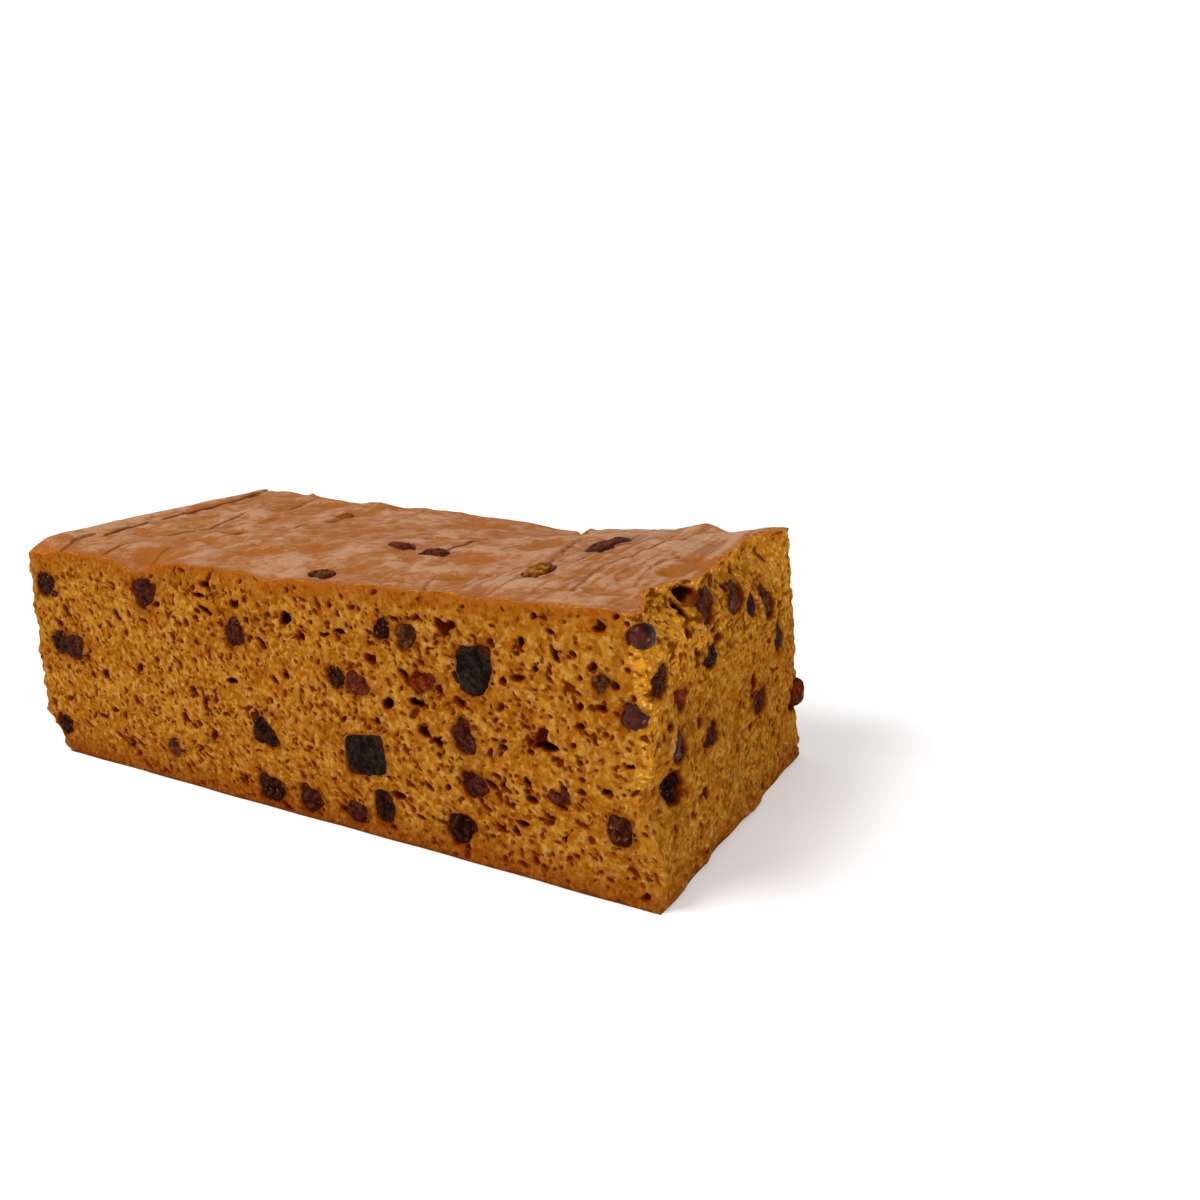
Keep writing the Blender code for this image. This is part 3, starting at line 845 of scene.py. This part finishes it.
# %% Pressing the front face
front_sheet = crumb_sheet("front_")
for x, z, wide, tall, turn in FRONT_HOLES:
    # a first guess at the place on the sheet, which is then mended by how far off it lands
    a = x - FRONT_START
    share = a / LONG_SIDE
    lean = left_face(-HALF_WIDTH, z) * (1.0 - share) + right_face(-HALF_WIDTH, z) * share
    deep = min(2.6, 1.1 + 0.45 * min(wide, tall))
    front_sheet.press(a + x - lean, z, wide / 2.0, tall / 2.0, math.radians(turn), deep, 0.4, 0.5)
sink_fruit(front_sheet, "front_", FRUIT["front_"])
print("deepest on the front:", round(float(front_sheet.depth.max()), 2), "mm")
# each half has half of the sheet's cells along the loaf
fronts = [make_skin("crumb_front_" + half, "front_", (380, 250), front_sheet, torn_marks, part)
          for half, part in HALVES.items()]

# %% [markdown]
# ## The torn right end
# Here the loaf was pulled apart more than cut. The crumb is rougher and more
# open in grain, with fewer slits, and it leans back at the top where the crust
# gave way. The same slab is used, with its own sheet of pores.

# %% Torn holes of the right end: y, z, width, height, turn in degrees
END_HOLES = (
    (-24.2, 76.8, 2.8, 6, 10), (-20.4, 80.4, 4.2, 3.4, 30), (-26.4, 71, 2.4, 3.4, -15),
    (-17.2, 74.5, 2.4, 3.2, 0), (-6.8, 81.3, 4.4, 3.4, 10), (1.5, 76, 2, 5.2, 0),
    (12.4, 79.4, 2.2, 3.6, 0), (38.3, 77.2, 2.6, 2.4, 35), (22.6, 70.6, 2.6, 3.6, 0),
    (2.8, 63.7, 2, 4.4, 0), (38, 46.4, 2.6, 5.6, 0), (-34.4, 66, 2.2, 3.6, -10),
    (-26.3, 44, 2.2, 3.8, 0), (-47.5, 60.8, 6, 2.2, 0), (16.5, 44, 2, 3, 0), (-24, 49.5, 3, 1.8, 0),
    (-11.2, 67.3, 2.6, 2, 0), (24.5, 80.5, 2.4, 2, 0), (-23.8, 63.9, 1.8, 3.4, 0),
    (38.1, 35.5, 2, 3.2, 0), (-44, 50, 2.4, 3, 0),
)
print("torn holes:", len(END_HOLES))

# %% Pressing the right end
end_sheet = crumb_sheet("end_")
leaning = ease((end_sheet.b - 64.0) / 9.0) * (0.7 + 0.25 * ease((38.0 - end_sheet.a) / 8.0))
end_sheet.depth = end_sheet.depth * (1.0 - leaning)
for y, z, wide, tall, turn in END_HOLES:
    deep = min(2.4, 0.9 + 0.4 * wide)
    turned = math.radians(90 + turn)
    end_sheet.press(y + HALF_WIDTH, z, tall / 2.0, wide / 2.0, turned, deep, 0.4, 0.9)
sink_fruit(end_sheet, "end_", FRUIT["end_"])
sink_fruit(end_sheet, "end_", {"front_right_corner": FRUIT["front_"]["front_right_corner"]})
print("deepest on the right end:", round(float(end_sheet.depth.max()), 2), "mm")
right = make_skin("crumb_right", "end_", (300, 230), end_sheet, torn_marks)

# %% [markdown]
# ## The back and the left end
# Neither shows from the front, but the bread can be turned round, so both are
# finished like the faces that show, with pores and fruit of their own.

# %% Pressing the back and the left end
backs = []
for name, face in (("crumb_back", "back_"), ("crumb_left", "left_")):
    plain_sheet = crumb_sheet(face)
    sink_fruit(plain_sheet, face, FRUIT[face])
    backs.append(make_skin(name, face, CRUMB_FACES[face][1], plain_sheet))

# %% [markdown]
# ## The top crust
# The crust is smooth and a little shiny, with soft domes from bubbles below,
# fine lines and the creases set out above. Where fruit broke through, the skin
# opened round it. The material needs to know where creases, hollows and domes
# are, for painted shade along the creases and painted highlights on domes and
# ridges, so those are stored with the points.


# %% Marks on the crust
def crust_marks(x, y, z):
    """Lines of painted shade, hollows, fine wrinkles, relief for painted light and bare edges, for the
    crust's colour.
    """
    ragged = clouds(x, y, z, (1.2, 2.6, 37), (0.6, 1.1, 38))
    stripped = np.interp(y, (-55.0, 25.0, 38.0, 50.0, 55.0), (0.6, 0.6, 2.5, 5.0, 7.0))
    to_long_edge = np.minimum(y + HALF_WIDTH, HALF_WIDTH - y)
    to_right_edge = right_face(y, z) - x
    whole = np.minimum(to_right_edge - stripped + ragged, to_long_edge + 0.8 * ragged - 0.4)
    # painted light: the right part of the crust is made paler, as if lit more
    painted_light_right = 0.36 * ease((x - 20.0) / 70.0) * ease((y + 50.0) / 26.0)
    marks = {
        "crease_shade": read_map(CREASE_SHADE_LINES, x, y),
        "hollow": read_map(HOLLOW_MAP, x, y) / 1.5,
        # fine wrinkles, for painted highlights on their ridges and painted shade between them
        "line": 0.5 + 0.5 * read_map(FINE_LINES, x, y),
        "relief_light": 0.5 + painted_light_right + 0.55 * read_map(RELIEF_LIGHT_MAP, x, y),
        "bare": 1.0 - ease(whole / 0.9),
        "rim": 1.0 - np.minimum(to_long_edge, to_right_edge) / 6.0,
    }
    return {key: np.clip(value, 0.0, 1.0) for key, value in marks.items()}


# %% The top and bottom skins
top_sheet = Sheet(LENGTH, SHORT_SIDE, 1000, 190)
rng = np.random.default_rng(71)
PIN_HOLES = 70
for _ in range(PIN_HOLES):
    top_sheet.press(rng.uniform(4, 264), rng.uniform(4, 106), 0.5, 0.4, rng.uniform(0, 3.1), 0.5)
sink_fruit(top_sheet, "top_", FRUIT["top_"], window_depth=1.1)
tops = [make_skin("top_crust_" + half, "top_", (500, 190), top_sheet, crust_marks, part)
        for half, part in HALVES.items()]
bottom = make_skin("bottom_crust", "bottom_", (360, 140))

# %% [markdown]
# ## Fruit
# Raisins dry into wrinkled lumps, and the knife cuts them flat where they met
# the face. Each starts as a ball of fine triangles in the place and size of its
# solid. Folds come from a noise whose zero lines are turned into valleys, and
# whatever would stand out of the face is pressed nearly flat against it. A few
# pieces were torn out round, not cut, and stand proud of the crumb.

# %% One wrinkled fruit
# how far the fruit of each side stands back from its face, and where that face is
SEATS = {
    "front_": (0.6, lambda x, y, z: side_face(x, z, -1.0)),
    "end_": (0.6, lambda x, y, z: right_face(y, z)),
    "back_": (0.6, lambda x, y, z: side_face(x, z, 1.0)),
    "left_": (0.6, lambda x, y, z: left_face(y, z)),
    "top_": (-0.2, lambda x, y, z: crust_height(x, y)),
}
# pieces torn out round, and how far they stand from the middle of their solid
PROUD = {"front_right_corner": (2.1, -1.3, 0.1), "end_back_edge": (1.2, 3.2, 1.2)}
LARGE_PIECES = ("front_square", "front_big")
FRUIT_GROWTH, FRUIT_MARGIN = 1.04, 1.3
FOLD_DEPTH, FOLD_RELIEF = 0.45, 0.5


def wrinkle(points, seed, size):
    """Valleys along the zero lines of a noise, from 0 to 1."""
    return 1.0 - bell(cloud(*points.T, size, seed) / 0.16)


def make_fruit(node, side, centre, half, seed):
    """A wrinkled raisin that stands for one solid of fruit."""
    _, axis, sign = SIDES[side]
    recess, surface = SEATS[side]
    wider, taller = FULLER.get(node, (1.0, 1.0))
    half = half * np.array((wider, taller, 1.0) if side == "top_" else (wider, wider, taller))
    centre = centre.copy()
    if side == "left_":
        centre[axis] = surface(*centre) + half[axis]
    centre = centre + np.array(PROUD.get(node, NUDGED.get(node, (0.0, 0.0, 0.0))))
    bm = bmesh.new()
    bmesh.ops.create_icosphere(bm, subdivisions=5 if node in LARGE_PIECES else 4, radius=1.0)
    mesh = mesh_from("fruit_" + node, bm)
    way = read_points(mesh)
    lumps = 0.1 * cloud(*way.T, 0.8, seed)
    power = SQUARENESS.get(node, OVAL)
    boxy = (np.abs(way) ** power).sum(1) ** (-1.0 / power)
    points = way * (half * FRUIT_GROWTH + FRUIT_MARGIN)[None, :] * (boxy * (1.0 + lumps))[:, None]
    folds = wrinkle(points, seed + 3, 3.2) * 0.6 + wrinkle(points, seed + 4, 1.7) * 0.4
    points = points - way * ((1.0 - folds) * FOLD_DEPTH)[:, None]
    points = points + centre[None, :]
    x, y, z = points.T
    face = surface(x, y, z) - sign * recess
    proud = sign * (points[:, axis] - face)
    relief = clouds(x, y, z, (0.45, 3.0, seed), (0.35, 1.3, seed)) - FOLD_RELIEF * (1.0 - folds)
    relief = relief * (0.4 if node in LARGE_PIECES else 1.0)
    # what would stand out is pressed towards the face: nearly flat where a knife cut it
    if node not in PROUD:
        swelling = 0.85 if side == "top_" else 0.2
        flat = face + sign * (np.minimum(proud, 3.0) * swelling + relief)
        points[:, axis] = np.where(proud > 0.0, flat, points[:, axis])
    write_points(mesh, points * MM)
    add_value(mesh, "cut", ease(proud / 0.8))
    # where the wrinkle valleys run, for painted shade in them
    add_value(mesh, "fold_shade", 1.0 - folds)
    sideways = [way[:, i] for i in range(3) if i != axis]
    reach = np.hypot(*sideways) + 0.12 * cloud(*points.T, 1.6, seed + 7)
    add_value(mesh, "edge", 0.0 * reach if node in PROUD else ease((reach - 0.62) / 0.3))
    return place_object("fruit_" + node, mesh)


# %% All the fruit
fruit_pieces = {}
for side, rows in FRUIT.items():
    for number, (node, (centre, half)) in enumerate(rows.items()):
        fruit_pieces[node] = make_fruit(node, side, centre, half, number + 5)
print("fruit:", len(fruit_pieces))

# %% [markdown]
# ## Materials
# Each finish is a small network of nodes. One colour is laid over another, each
# where a noise at the scale of the real mottling runs high, or where the numbers
# stored with the points do: how deep a pore is, for painted shade in it, how near
# the crust or the foot a place is, and how much juice has stained the crumb round
# the fruit. Some layers are painted light: highlights on crests, ridges and domes,
# and shade in pores, gaps, rifts and creases.


# %% Helpers for node networks
class Recipe:
    """A material under construction, with short calls for its nodes."""

    def __init__(self, name):
        self.material = bpy.data.materials.new(name)
        self.material.use_nodes = True
        self.tree = self.material.node_tree
        self.shader = self.tree.nodes["Principled BSDF"]
        self.where = self.tree.nodes.new("ShaderNodeTexCoord").outputs["Object"]
        self.colour = (1.0, 1.0, 1.0, 1.0)

    def feed(self, socket, value):
        """Feed a socket with an output, a number, or what the points store under a name."""
        if isinstance(value, str):
            stored = self.tree.nodes.new("ShaderNodeAttribute")
            stored.attribute_name = value
            value = stored.outputs["Fac"]
        if isinstance(value, bpy.types.NodeSocket):
            self.tree.links.new(value, socket)
        else:
            socket.default_value = value

    def add(self, kind, inputs, **settings):
        """The outputs of a new node, with its settings made and its inputs fed."""
        node = self.tree.nodes.new("ShaderNode" + kind)
        for key, value in settings.items():
            setattr(node, key, value)
        for key, value in inputs.items():
            self.feed(node.inputs[key], value)
        return node.outputs

    def noise(self, size_mm, detail=3.0, rough=0.6):
        """Noise with lumps of about this size, from 0 to 1."""
        inputs = {"Scale": 1000.0 / size_mm, "Detail": detail, "Roughness": rough}
        return self.add("TexNoise", {"Vector": self.where, **inputs})["Fac"]

    def cells(self, size_mm, longer, lean):
        """Distance to the nearest of many scattered seeds, longer along a leaning line."""
        turn = (0.0, math.radians(lean), 0.0)
        stretch = {"Vector": self.where, "Rotation": turn, "Scale": (longer, 1.0, 1.0)}
        turned = self.add("Mapping", stretch, vector_type="TEXTURE")["Vector"]
        return self.add("TexVoronoi", {"Vector": turned, "Scale": 1000.0 / size_mm})["Distance"]

    def span(self, value, low, high, out_low=0.0, out_high=1.0):
        """Stretch a range of values onto another, clamped and smooth."""
        ends = {"From Min": low, "From Max": high, "To Min": out_low, "To Max": out_high}
        return self.add("MapRange", {"Value": value, **ends}, interpolation_type="SMOOTHSTEP")["Result"]

    def math(self, operation, first, second):
        """One sum on two numbers."""
        return self.add("Math", {0: first, 1: second}, operation=operation)["Value"]

    def mix(self, factor, first, second):
        """Mix two colours."""
        return self.add("Mix", {0: factor, 6: first, 7: second}, data_type="RGBA")[2]

    def lay(self, mask, strength, shade):
        """Lay a shade over the colour so far, where a mask is high."""
        self.colour = self.mix(self.math("MULTIPLY", mask, strength), self.colour, tone(*shade))

    def bump(self, height, strength, depth_mm, below=None):
        """A bump of this depth, on top of another bump."""
        inputs = {"Strength": strength, "Distance": depth_mm * MM, "Height": height}
        if below is not None:
            inputs["Normal"] = below
        return self.add("Bump", inputs)["Normal"]

    def finish(self, roughness, normal=None):
        """Connect the colour so far, a roughness and a normal to the shader."""
        self.feed(self.shader.inputs["Base Color"], self.colour)
        self.feed(self.shader.inputs["Roughness"], roughness)
        if normal is not None:
            self.feed(self.shader.inputs["Normal"], normal)
        return self.material


def tone(red, green, blue):
    """A colour seen on a screen, as the linear colour a shader needs."""
    linear = []
    for value in (red, green, blue):
        v = value / 255.0
        linear.append(v / 12.92 if v <= 0.04045 else ((v + 0.055) / 1.055) ** 2.4)
    return (*linear, 1.0)


print("tone of crumb:", [round(c, 3) for c in tone(176, 110, 26)])


# %% Crumb
def crumb_material():
    """Golden brown crumb with dark pores, browner under the crust and at the foot."""
    r = Recipe("spice_crumb")
    patch = r.span(r.noise(12.0, 3.0), 0.38, 0.62)
    r.colour = r.mix(patch, tone(153, 92, 18), tone(169, 111, 32))
    blotch = r.span(r.noise(3.2, 3.0, 0.6), 0.48, 0.62)
    r.lay(blotch, 0.7, (140, 70, 3))
    # painted shade between the crumb's lumps and painted highlights on their tops, which the bump follows
    # too, then small painted glints
    lumps = r.noise(1.8, 1.5, 0.5)
    gap_shade = r.span(lumps, 0.34, 0.50, 1.0, 0.0)
    r.lay(gap_shade, 0.45, (122, 54, 0))
    crest_highlight = r.span(lumps, 0.53, 0.68)
    r.lay(crest_highlight, 0.45, (194, 146, 66))
    glint = r.span(r.noise(2.6, 1.5, 0.5), 0.60, 0.69)
    r.lay(glint, 0.3, (212, 172, 96))
    # painted shade of tiny pores: dark spots where no hole is pressed, more of them in crowded patches
    pore_shade_spots = r.span(r.cells(2.9, 1.25, 40.0), 0.2, 0.36, 1.0, 0.0)
    crowded = r.span(r.noise(8.0, 2.0), 0.4, 0.56, 0.3, 0.85)
    r.lay(pore_shade_spots, crowded, (92, 28, 0))
    wander = r.span(r.noise(5.0, 3.0), 0.3, 0.7, -0.1, 0.1)
    below = r.math("ADD", "below", wander)
    dense = r.span(below, 0.06, 0.44, 1.0, 0.0)
    dense = r.math("MULTIPLY", dense, r.span("gold_and_highlight", 0.0, 0.5, 1.0, 0.2))
    r.lay(dense, 0.7, (144, 74, 10))
    foot = r.span(r.math("ADD", "above", wander), 0.04, 0.62, 1.0, 0.0)
    r.lay(foot, 0.8, (120, 54, 8))
    banded = r.math("MAXIMUM", dense, foot)
    grain = r.noise(1.7, 3.0, 0.65)
    r.lay(banded, r.span(grain, 0.54, 0.66, 0.0, 0.5), (92, 36, 2))
    r.lay(banded, r.span(grain, 0.34, 0.46, 0.5, 0.0), (176, 110, 38))
    skin = r.span(r.math("ADD", "below", r.math("MULTIPLY", wander, 0.7)), 0.0, 0.08, 1.0, 0.0)
    r.lay(skin, 0.7, (162, 86, 24))
    sole = r.span(r.math("ADD", "above", r.math("MULTIPLY", wander, 0.4)), 0.0, 0.1, 1.0, 0.0)
    r.lay(sole, 0.8, (92, 38, 6))
    # golden torn crumb with painted highlights on its crests, small painted glints, and painted shade in its
    # rifts
    gold_light_mix = r.span(r.noise(1.6, 2.0, 0.55), 0.42, 0.58, 0.45, 0.95)
    r.lay("gold_and_highlight", gold_light_mix, (214, 142, 34))
    sparkle = r.span(r.noise(1.2, 2.0, 0.55), 0.57, 0.66)
    r.lay("gold_and_highlight", sparkle, (236, 186, 104))
    r.lay("rift_shade", 0.8, (88, 26, 0))
    # painted shade round the pores
    r.lay(r.span("halo", 0.1, 0.8), 0.42, (126, 52, 0))
    r.lay("stain", 0.8, (90, 36, 4))
    # painted shade in the pores, darker the deeper they are
    pore_shade_steps = ((0.1, 0.38, 0.85, (98, 28, 0)), (0.36, 0.7, 0.9, (54, 10, 0)),
                   (0.66, 1.0, 0.9, (20, 3, 0)))
    for shallow, deep, strength, shade in pore_shade_steps:
        r.lay(r.span("pore", shallow, deep), strength, shade)
    normal = r.bump(lumps, 0.3, 0.3)
    r.shader.inputs["Specular IOR Level"].default_value = 0.0
    return r.finish(0.7, normal)


# %% Top crust
def crust_material():
    """Satin tan crust: painted highlights on its domes and ridges, painted shade along its creases, orange
    brown in its hollows.
    """
    r = Recipe("top_crust")
    patch = r.span(r.noise(15.0, 4.0, 0.55), 0.36, 0.66)
    r.colour = r.mix(patch, tone(158, 97, 48), tone(171, 116, 77))
    # painted highlights on raised relief and painted shade on low relief
    high = r.span("relief_light", 0.54, 0.86)
    r.lay(high, 0.7, (186, 142, 108))
    low = r.span("relief_light", 0.2, 0.5, 1.0, 0.0)
    r.lay(low, 0.8, (152, 86, 28))
    golden = r.span(r.noise(7.0, 3.0, 0.6), 0.54, 0.64)
    r.lay(golden, 0.75, (152, 88, 28))
    mottle = r.noise(3.4, 4.0, 0.65)
    r.lay(r.span(mottle, 0.52, 0.66), 0.5, (148, 80, 30))
    r.lay(r.span(mottle, 0.34, 0.46, 1.0, 0.0), 0.45, (186, 142, 108))
    # painted highlights on the fine ridges and painted shade between them
    ridge_highlight = r.span("line", 0.58, 0.86)
    r.lay(ridge_highlight, 0.55, (188, 145, 111))
    wrinkle_shade = r.span("line", 0.12, 0.4, 1.0, 0.0)
    r.lay(wrinkle_shade, 0.6, (142, 78, 36))
    ragged = r.span(r.noise(3.0, 4.0, 0.65), 0.3, 0.7, 0.6, 1.4)
    hollow = r.span(r.math("MULTIPLY", "hollow", ragged), 0.18, 0.44)
    r.lay(hollow, 0.9, (155, 88, 26))
    # darker in the deepest hollows
    deepest_hollow = r.span("hollow", 0.68, 0.95)
    r.lay(deepest_hollow, 0.8, (118, 46, 10))
    rim = r.math("MULTIPLY", r.span("rim", 0.4, 0.9), r.span(r.noise(6.0, 4.0), 0.3, 0.52))
    r.lay(rim, 0.85, (158, 86, 30))
    freckle = r.span(r.noise(1.1, 2.0, 0.5), 0.62, 0.74)
    r.lay(freckle, 0.4, (128, 62, 24))
    crumbs = r.mix(r.span(r.noise(1.3, 3.0, 0.65), 0.4, 0.6), tone(140, 68, 6), tone(190, 122, 36))
    r.colour = r.mix("bare", r.colour, crumbs)
    # painted shade along the creases
    r.lay("crease_shade", r.span(mottle, 0.3, 0.6, 1.0, 0.8), (74, 24, 5))
    r.lay("stain", 0.55, (92, 38, 16))
    # painted shade in the pin holes and in the windows over fruit
    pore = r.span("pore", 0.12, 0.5)
    r.lay(pore, 0.8, (92, 34, 8))
    normal = r.bump(mottle, 0.5, 0.35)
    normal = r.bump(r.noise(0.7, 3.0, 0.6), 0.3, 0.12, normal)
    rough = r.span(r.noise(6.0, 3.0), 0.3, 0.7, 0.42, 0.6)
    r.shader.inputs["Specular IOR Level"].default_value = 0.02
    return r.finish(rough, normal)


# %% Bottom crust
def sole_material():
    """Dark, dry crust that lay on the tin."""
    r = Recipe("bottom_crust")
    patch = r.span(r.noise(11.0, 4.0), 0.35, 0.65)
    r.colour = r.mix(patch, tone(84, 36, 14), tone(118, 58, 22))
    speck = r.span(r.noise(1.4, 3.0), 0.5, 0.7)
    r.lay(speck, 0.5, (60, 24, 10))
    normal = r.bump(r.noise(1.6, 4.0), 0.6, 0.4)
    return r.finish(0.62, normal)


# %% Fruit
def fruit_material(name, flesh, skin, gloss, shine=0.01, dust_and_glint=0.45, fold_shade_strength=0.7):
    """Sticky dried fruit: painted shade in the folds, browner towards its rim, with crumb dust and painted
    glints.
    """
    r = Recipe(name)
    mottle = r.span(r.noise(2.0, 3.0), 0.40, 0.62)
    skin = tone(*skin)
    r.colour = r.mix("cut", skin, r.mix(mottle, skin, tone(*flesh)))
    r.lay("edge", 0.7, (86, 34, 12))
    # painted shade in the folds
    r.lay("fold_shade", fold_shade_strength, (14, 3, 2))
    # specks of crumb dust, which also stand in for painted glints
    speck = r.span(r.noise(1.1, 1.0, 0.5), 0.66, 0.74)
    r.lay(speck, dust_and_glint, (150, 100, 58))
    normal = r.bump(r.noise(0.9, 3.0), 0.6, 0.3)
    rough = r.span(r.noise(1.4, 2.0), 0.35, 0.65, gloss, gloss + 0.25)
    r.shader.inputs["Specular IOR Level"].default_value = shine
    return r.finish(rough, normal)


# for each look: flesh, skin and roughness, then shine, crumb dust with painted glints, and how dark the
# painted shade in its folds is
FRUIT_SHADES = {
    "plum": ((80, 36, 24), (46, 12, 7), 0.35),
    "ink": ((60, 28, 16), (22, 6, 2), 0.35),
    "slate": ((46, 35, 28), (20, 14, 10), 0.5, 0.01, 0.1),
    "russet": ((122, 50, 18), (84, 20, 4), 0.4),
    "garnet": ((82, 24, 16), (46, 9, 6), 0.06, 0.12, 0.7),
    "crumbed": ((176, 112, 46), (112, 58, 14), 0.5),
    "veiled": ((140, 78, 38), (124, 58, 24), 0.5, 0.01, 0.2, 0.2),
    "rust": ((104, 42, 14), (60, 14, 2), 0.35, 0.04),
    "ashen": ((110, 68, 40), (64, 28, 12), 0.5),
}
FRUIT_LOOKS = {look: fruit_material("fruit_" + look, *row) for look, row in FRUIT_SHADES.items()}

# the look of each slot, then the pieces with another look, by how their names end
SLOT_LOOKS = {"brown_fruit": "russet", "red_fruit": "garnet", "ashen_fruit": "ashen", "dark_fruit": "ink"}
OTHER_LOOKS = {
    "plum": ("pair_b", "upper_left", "base_b", "base_c", "middle_right", "lower_right", "right_foot",
             "end_front", "middle_low", "flat_plum", "middle_left", "back_right_low", "back_centre",
             "left_low", "left_back"),
    "slate": ("front_square", "front_big"),
    "rust": ("top_sunken", "top_wrinkled", "top_dark", "small_russet", "twin_b", "low_russet",
             "torn_top", "upper_russet"),
    "crumbed": ("top_torn",),
    "veiled": ("top_hollow",),
    "ashen": ("top_edge",),
}
print("looks of fruit:", *FRUIT_LOOKS)

# %% [markdown]
# ## Handing the pieces over
# Every skin stands for the one solid of the loaf, and every raisin for its own
# solid. The record says which finish each solid has, so the raisins ask it.

# %% Materials, bodies and the solids they stand for
crumb, crust = crumb_material(), crust_material()
skins = [(piece, crumb) for piece in (*fronts, right, *backs)]
skins += [(piece, crust) for piece in tops] + [(bottom, sole_material())]
for piece, material in skins:
    piece.data.materials.append(material)
    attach(piece, "root")
    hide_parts("loaf")

slots = {row["node"]: row["material_slot"] for row in frame["record"]["subparts"]}
for node, piece in fruit_pieces.items():
    slot = slots[node]
    look = SLOT_LOOKS[slot]
    for other, endings in OTHER_LOOKS.items():
        look = other if node.endswith(endings) else look
    piece.data.materials.append(FRUIT_LOOKS[look])
    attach(piece, "root")
    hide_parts(node)
print("pieces:", len(skins) + len(fruit_pieces))

# %% [markdown]
# ## The stage
# A pale floor, a white surround, one large soft light from the upper left and
# a weaker one in front. A small light would throw hard shadows into every pore.

# %% Floor, surround and lights
FLOOR_REACH = 40.0
LIT_PLACE = (0.0, 0.0, 0.04)
bm = bmesh.new()
bmesh.ops.create_grid(bm, x_segments=1, y_segments=1, size=FLOOR_REACH)
floor = place_object("floor", mesh_from("floor", bm))
floor_look = Recipe("pale_floor")
away = floor_look.add("VectorMath", {0: floor_look.where}, operation="LENGTH")["Value"]
glow = floor_look.span(away, 0.3, 1.6, 0.22, 0.55)
floor_look.shader.inputs["Emission Color"].default_value = (1.0, 1.0, 1.0, 1.0)
floor_look.feed(floor_look.shader.inputs["Emission Strength"], glow)
floor_look.colour = (0.92, 0.92, 0.92, 1.0)
floor.data.materials.append(floor_look.finish(0.9))

world = bpy.data.worlds.new("surround")
bpy.context.scene.world = world
world.use_nodes = True
nodes, links = world.node_tree.nodes, world.node_tree.links
nodes["Background"].inputs["Color"].default_value = (1.0, 1.0, 1.0, 1.0)
# the surround looks white, but lights the bread more weakly than it looks
brightness = nodes.new("ShaderNodeMapRange")
brightness.inputs["To Min"].default_value = 0.55
brightness.inputs["To Max"].default_value = 1.0
links.new(nodes.new("ShaderNodeLightPath").outputs["Is Camera Ray"], brightness.inputs["Value"])
links.new(brightness.outputs["Result"], nodes["Background"].inputs["Strength"])


def soft_light(name, place, width, power):
    """A square soft light that looks at the bread."""
    data = bpy.data.lights.new(name, "AREA")
    data.shape = "SQUARE"
    data.size = width
    data.energy = power
    light = place_object(name, data)
    light.location = place
    away = light.location - Vector(LIT_PLACE)
    light.rotation_euler = away.to_track_quat("Z", "Y").to_euler()


soft_light("key", (-0.48, -0.60, 1.25), 0.6, 13.4)
soft_light("fill", (0.95, -0.95, 0.6), 0.9, 3.0)
print("lights:", [light.name for light in bpy.data.lights])

# %% [markdown]
# ## The camera
# The camera was fitted to the straight edges of the real bar: where it stood,
# which way it looked, how far it was tipped and how long its lens was.

# %% Camera
CAMERA_PLACE = (250.8, -262.0, 155.6)
AZIMUTH, ELEVATION, ROLL = -31.14, 15.70, -3.36
LENS = 29.51

az, el, roll = (math.radians(v) for v in (AZIMUTH, ELEVATION, ROLL))
forward = Vector((math.cos(el) * math.sin(az), math.cos(el) * math.cos(az), -math.sin(el)))
level = Vector((math.cos(az), -math.sin(az), 0.0))
upward = level.cross(forward)
across = math.cos(roll) * level + math.sin(roll) * upward
upright = -math.sin(roll) * level + math.cos(roll) * upward
camera_data = bpy.data.cameras.new("camera")
camera_data.lens = LENS
camera_data.sensor_width = 36.0
camera = place_object("camera", camera_data)
turn = Matrix((across, upright, -forward)).transposed().to_4x4()
camera.matrix_world = Matrix.Translation(Vector(CAMERA_PLACE) * MM) @ turn
print("camera at", [round(part, 3) for part in camera.matrix_world.translation])
bpy.context.scene.camera = camera
bpy.context.scene.view_settings.view_transform = "Standard"
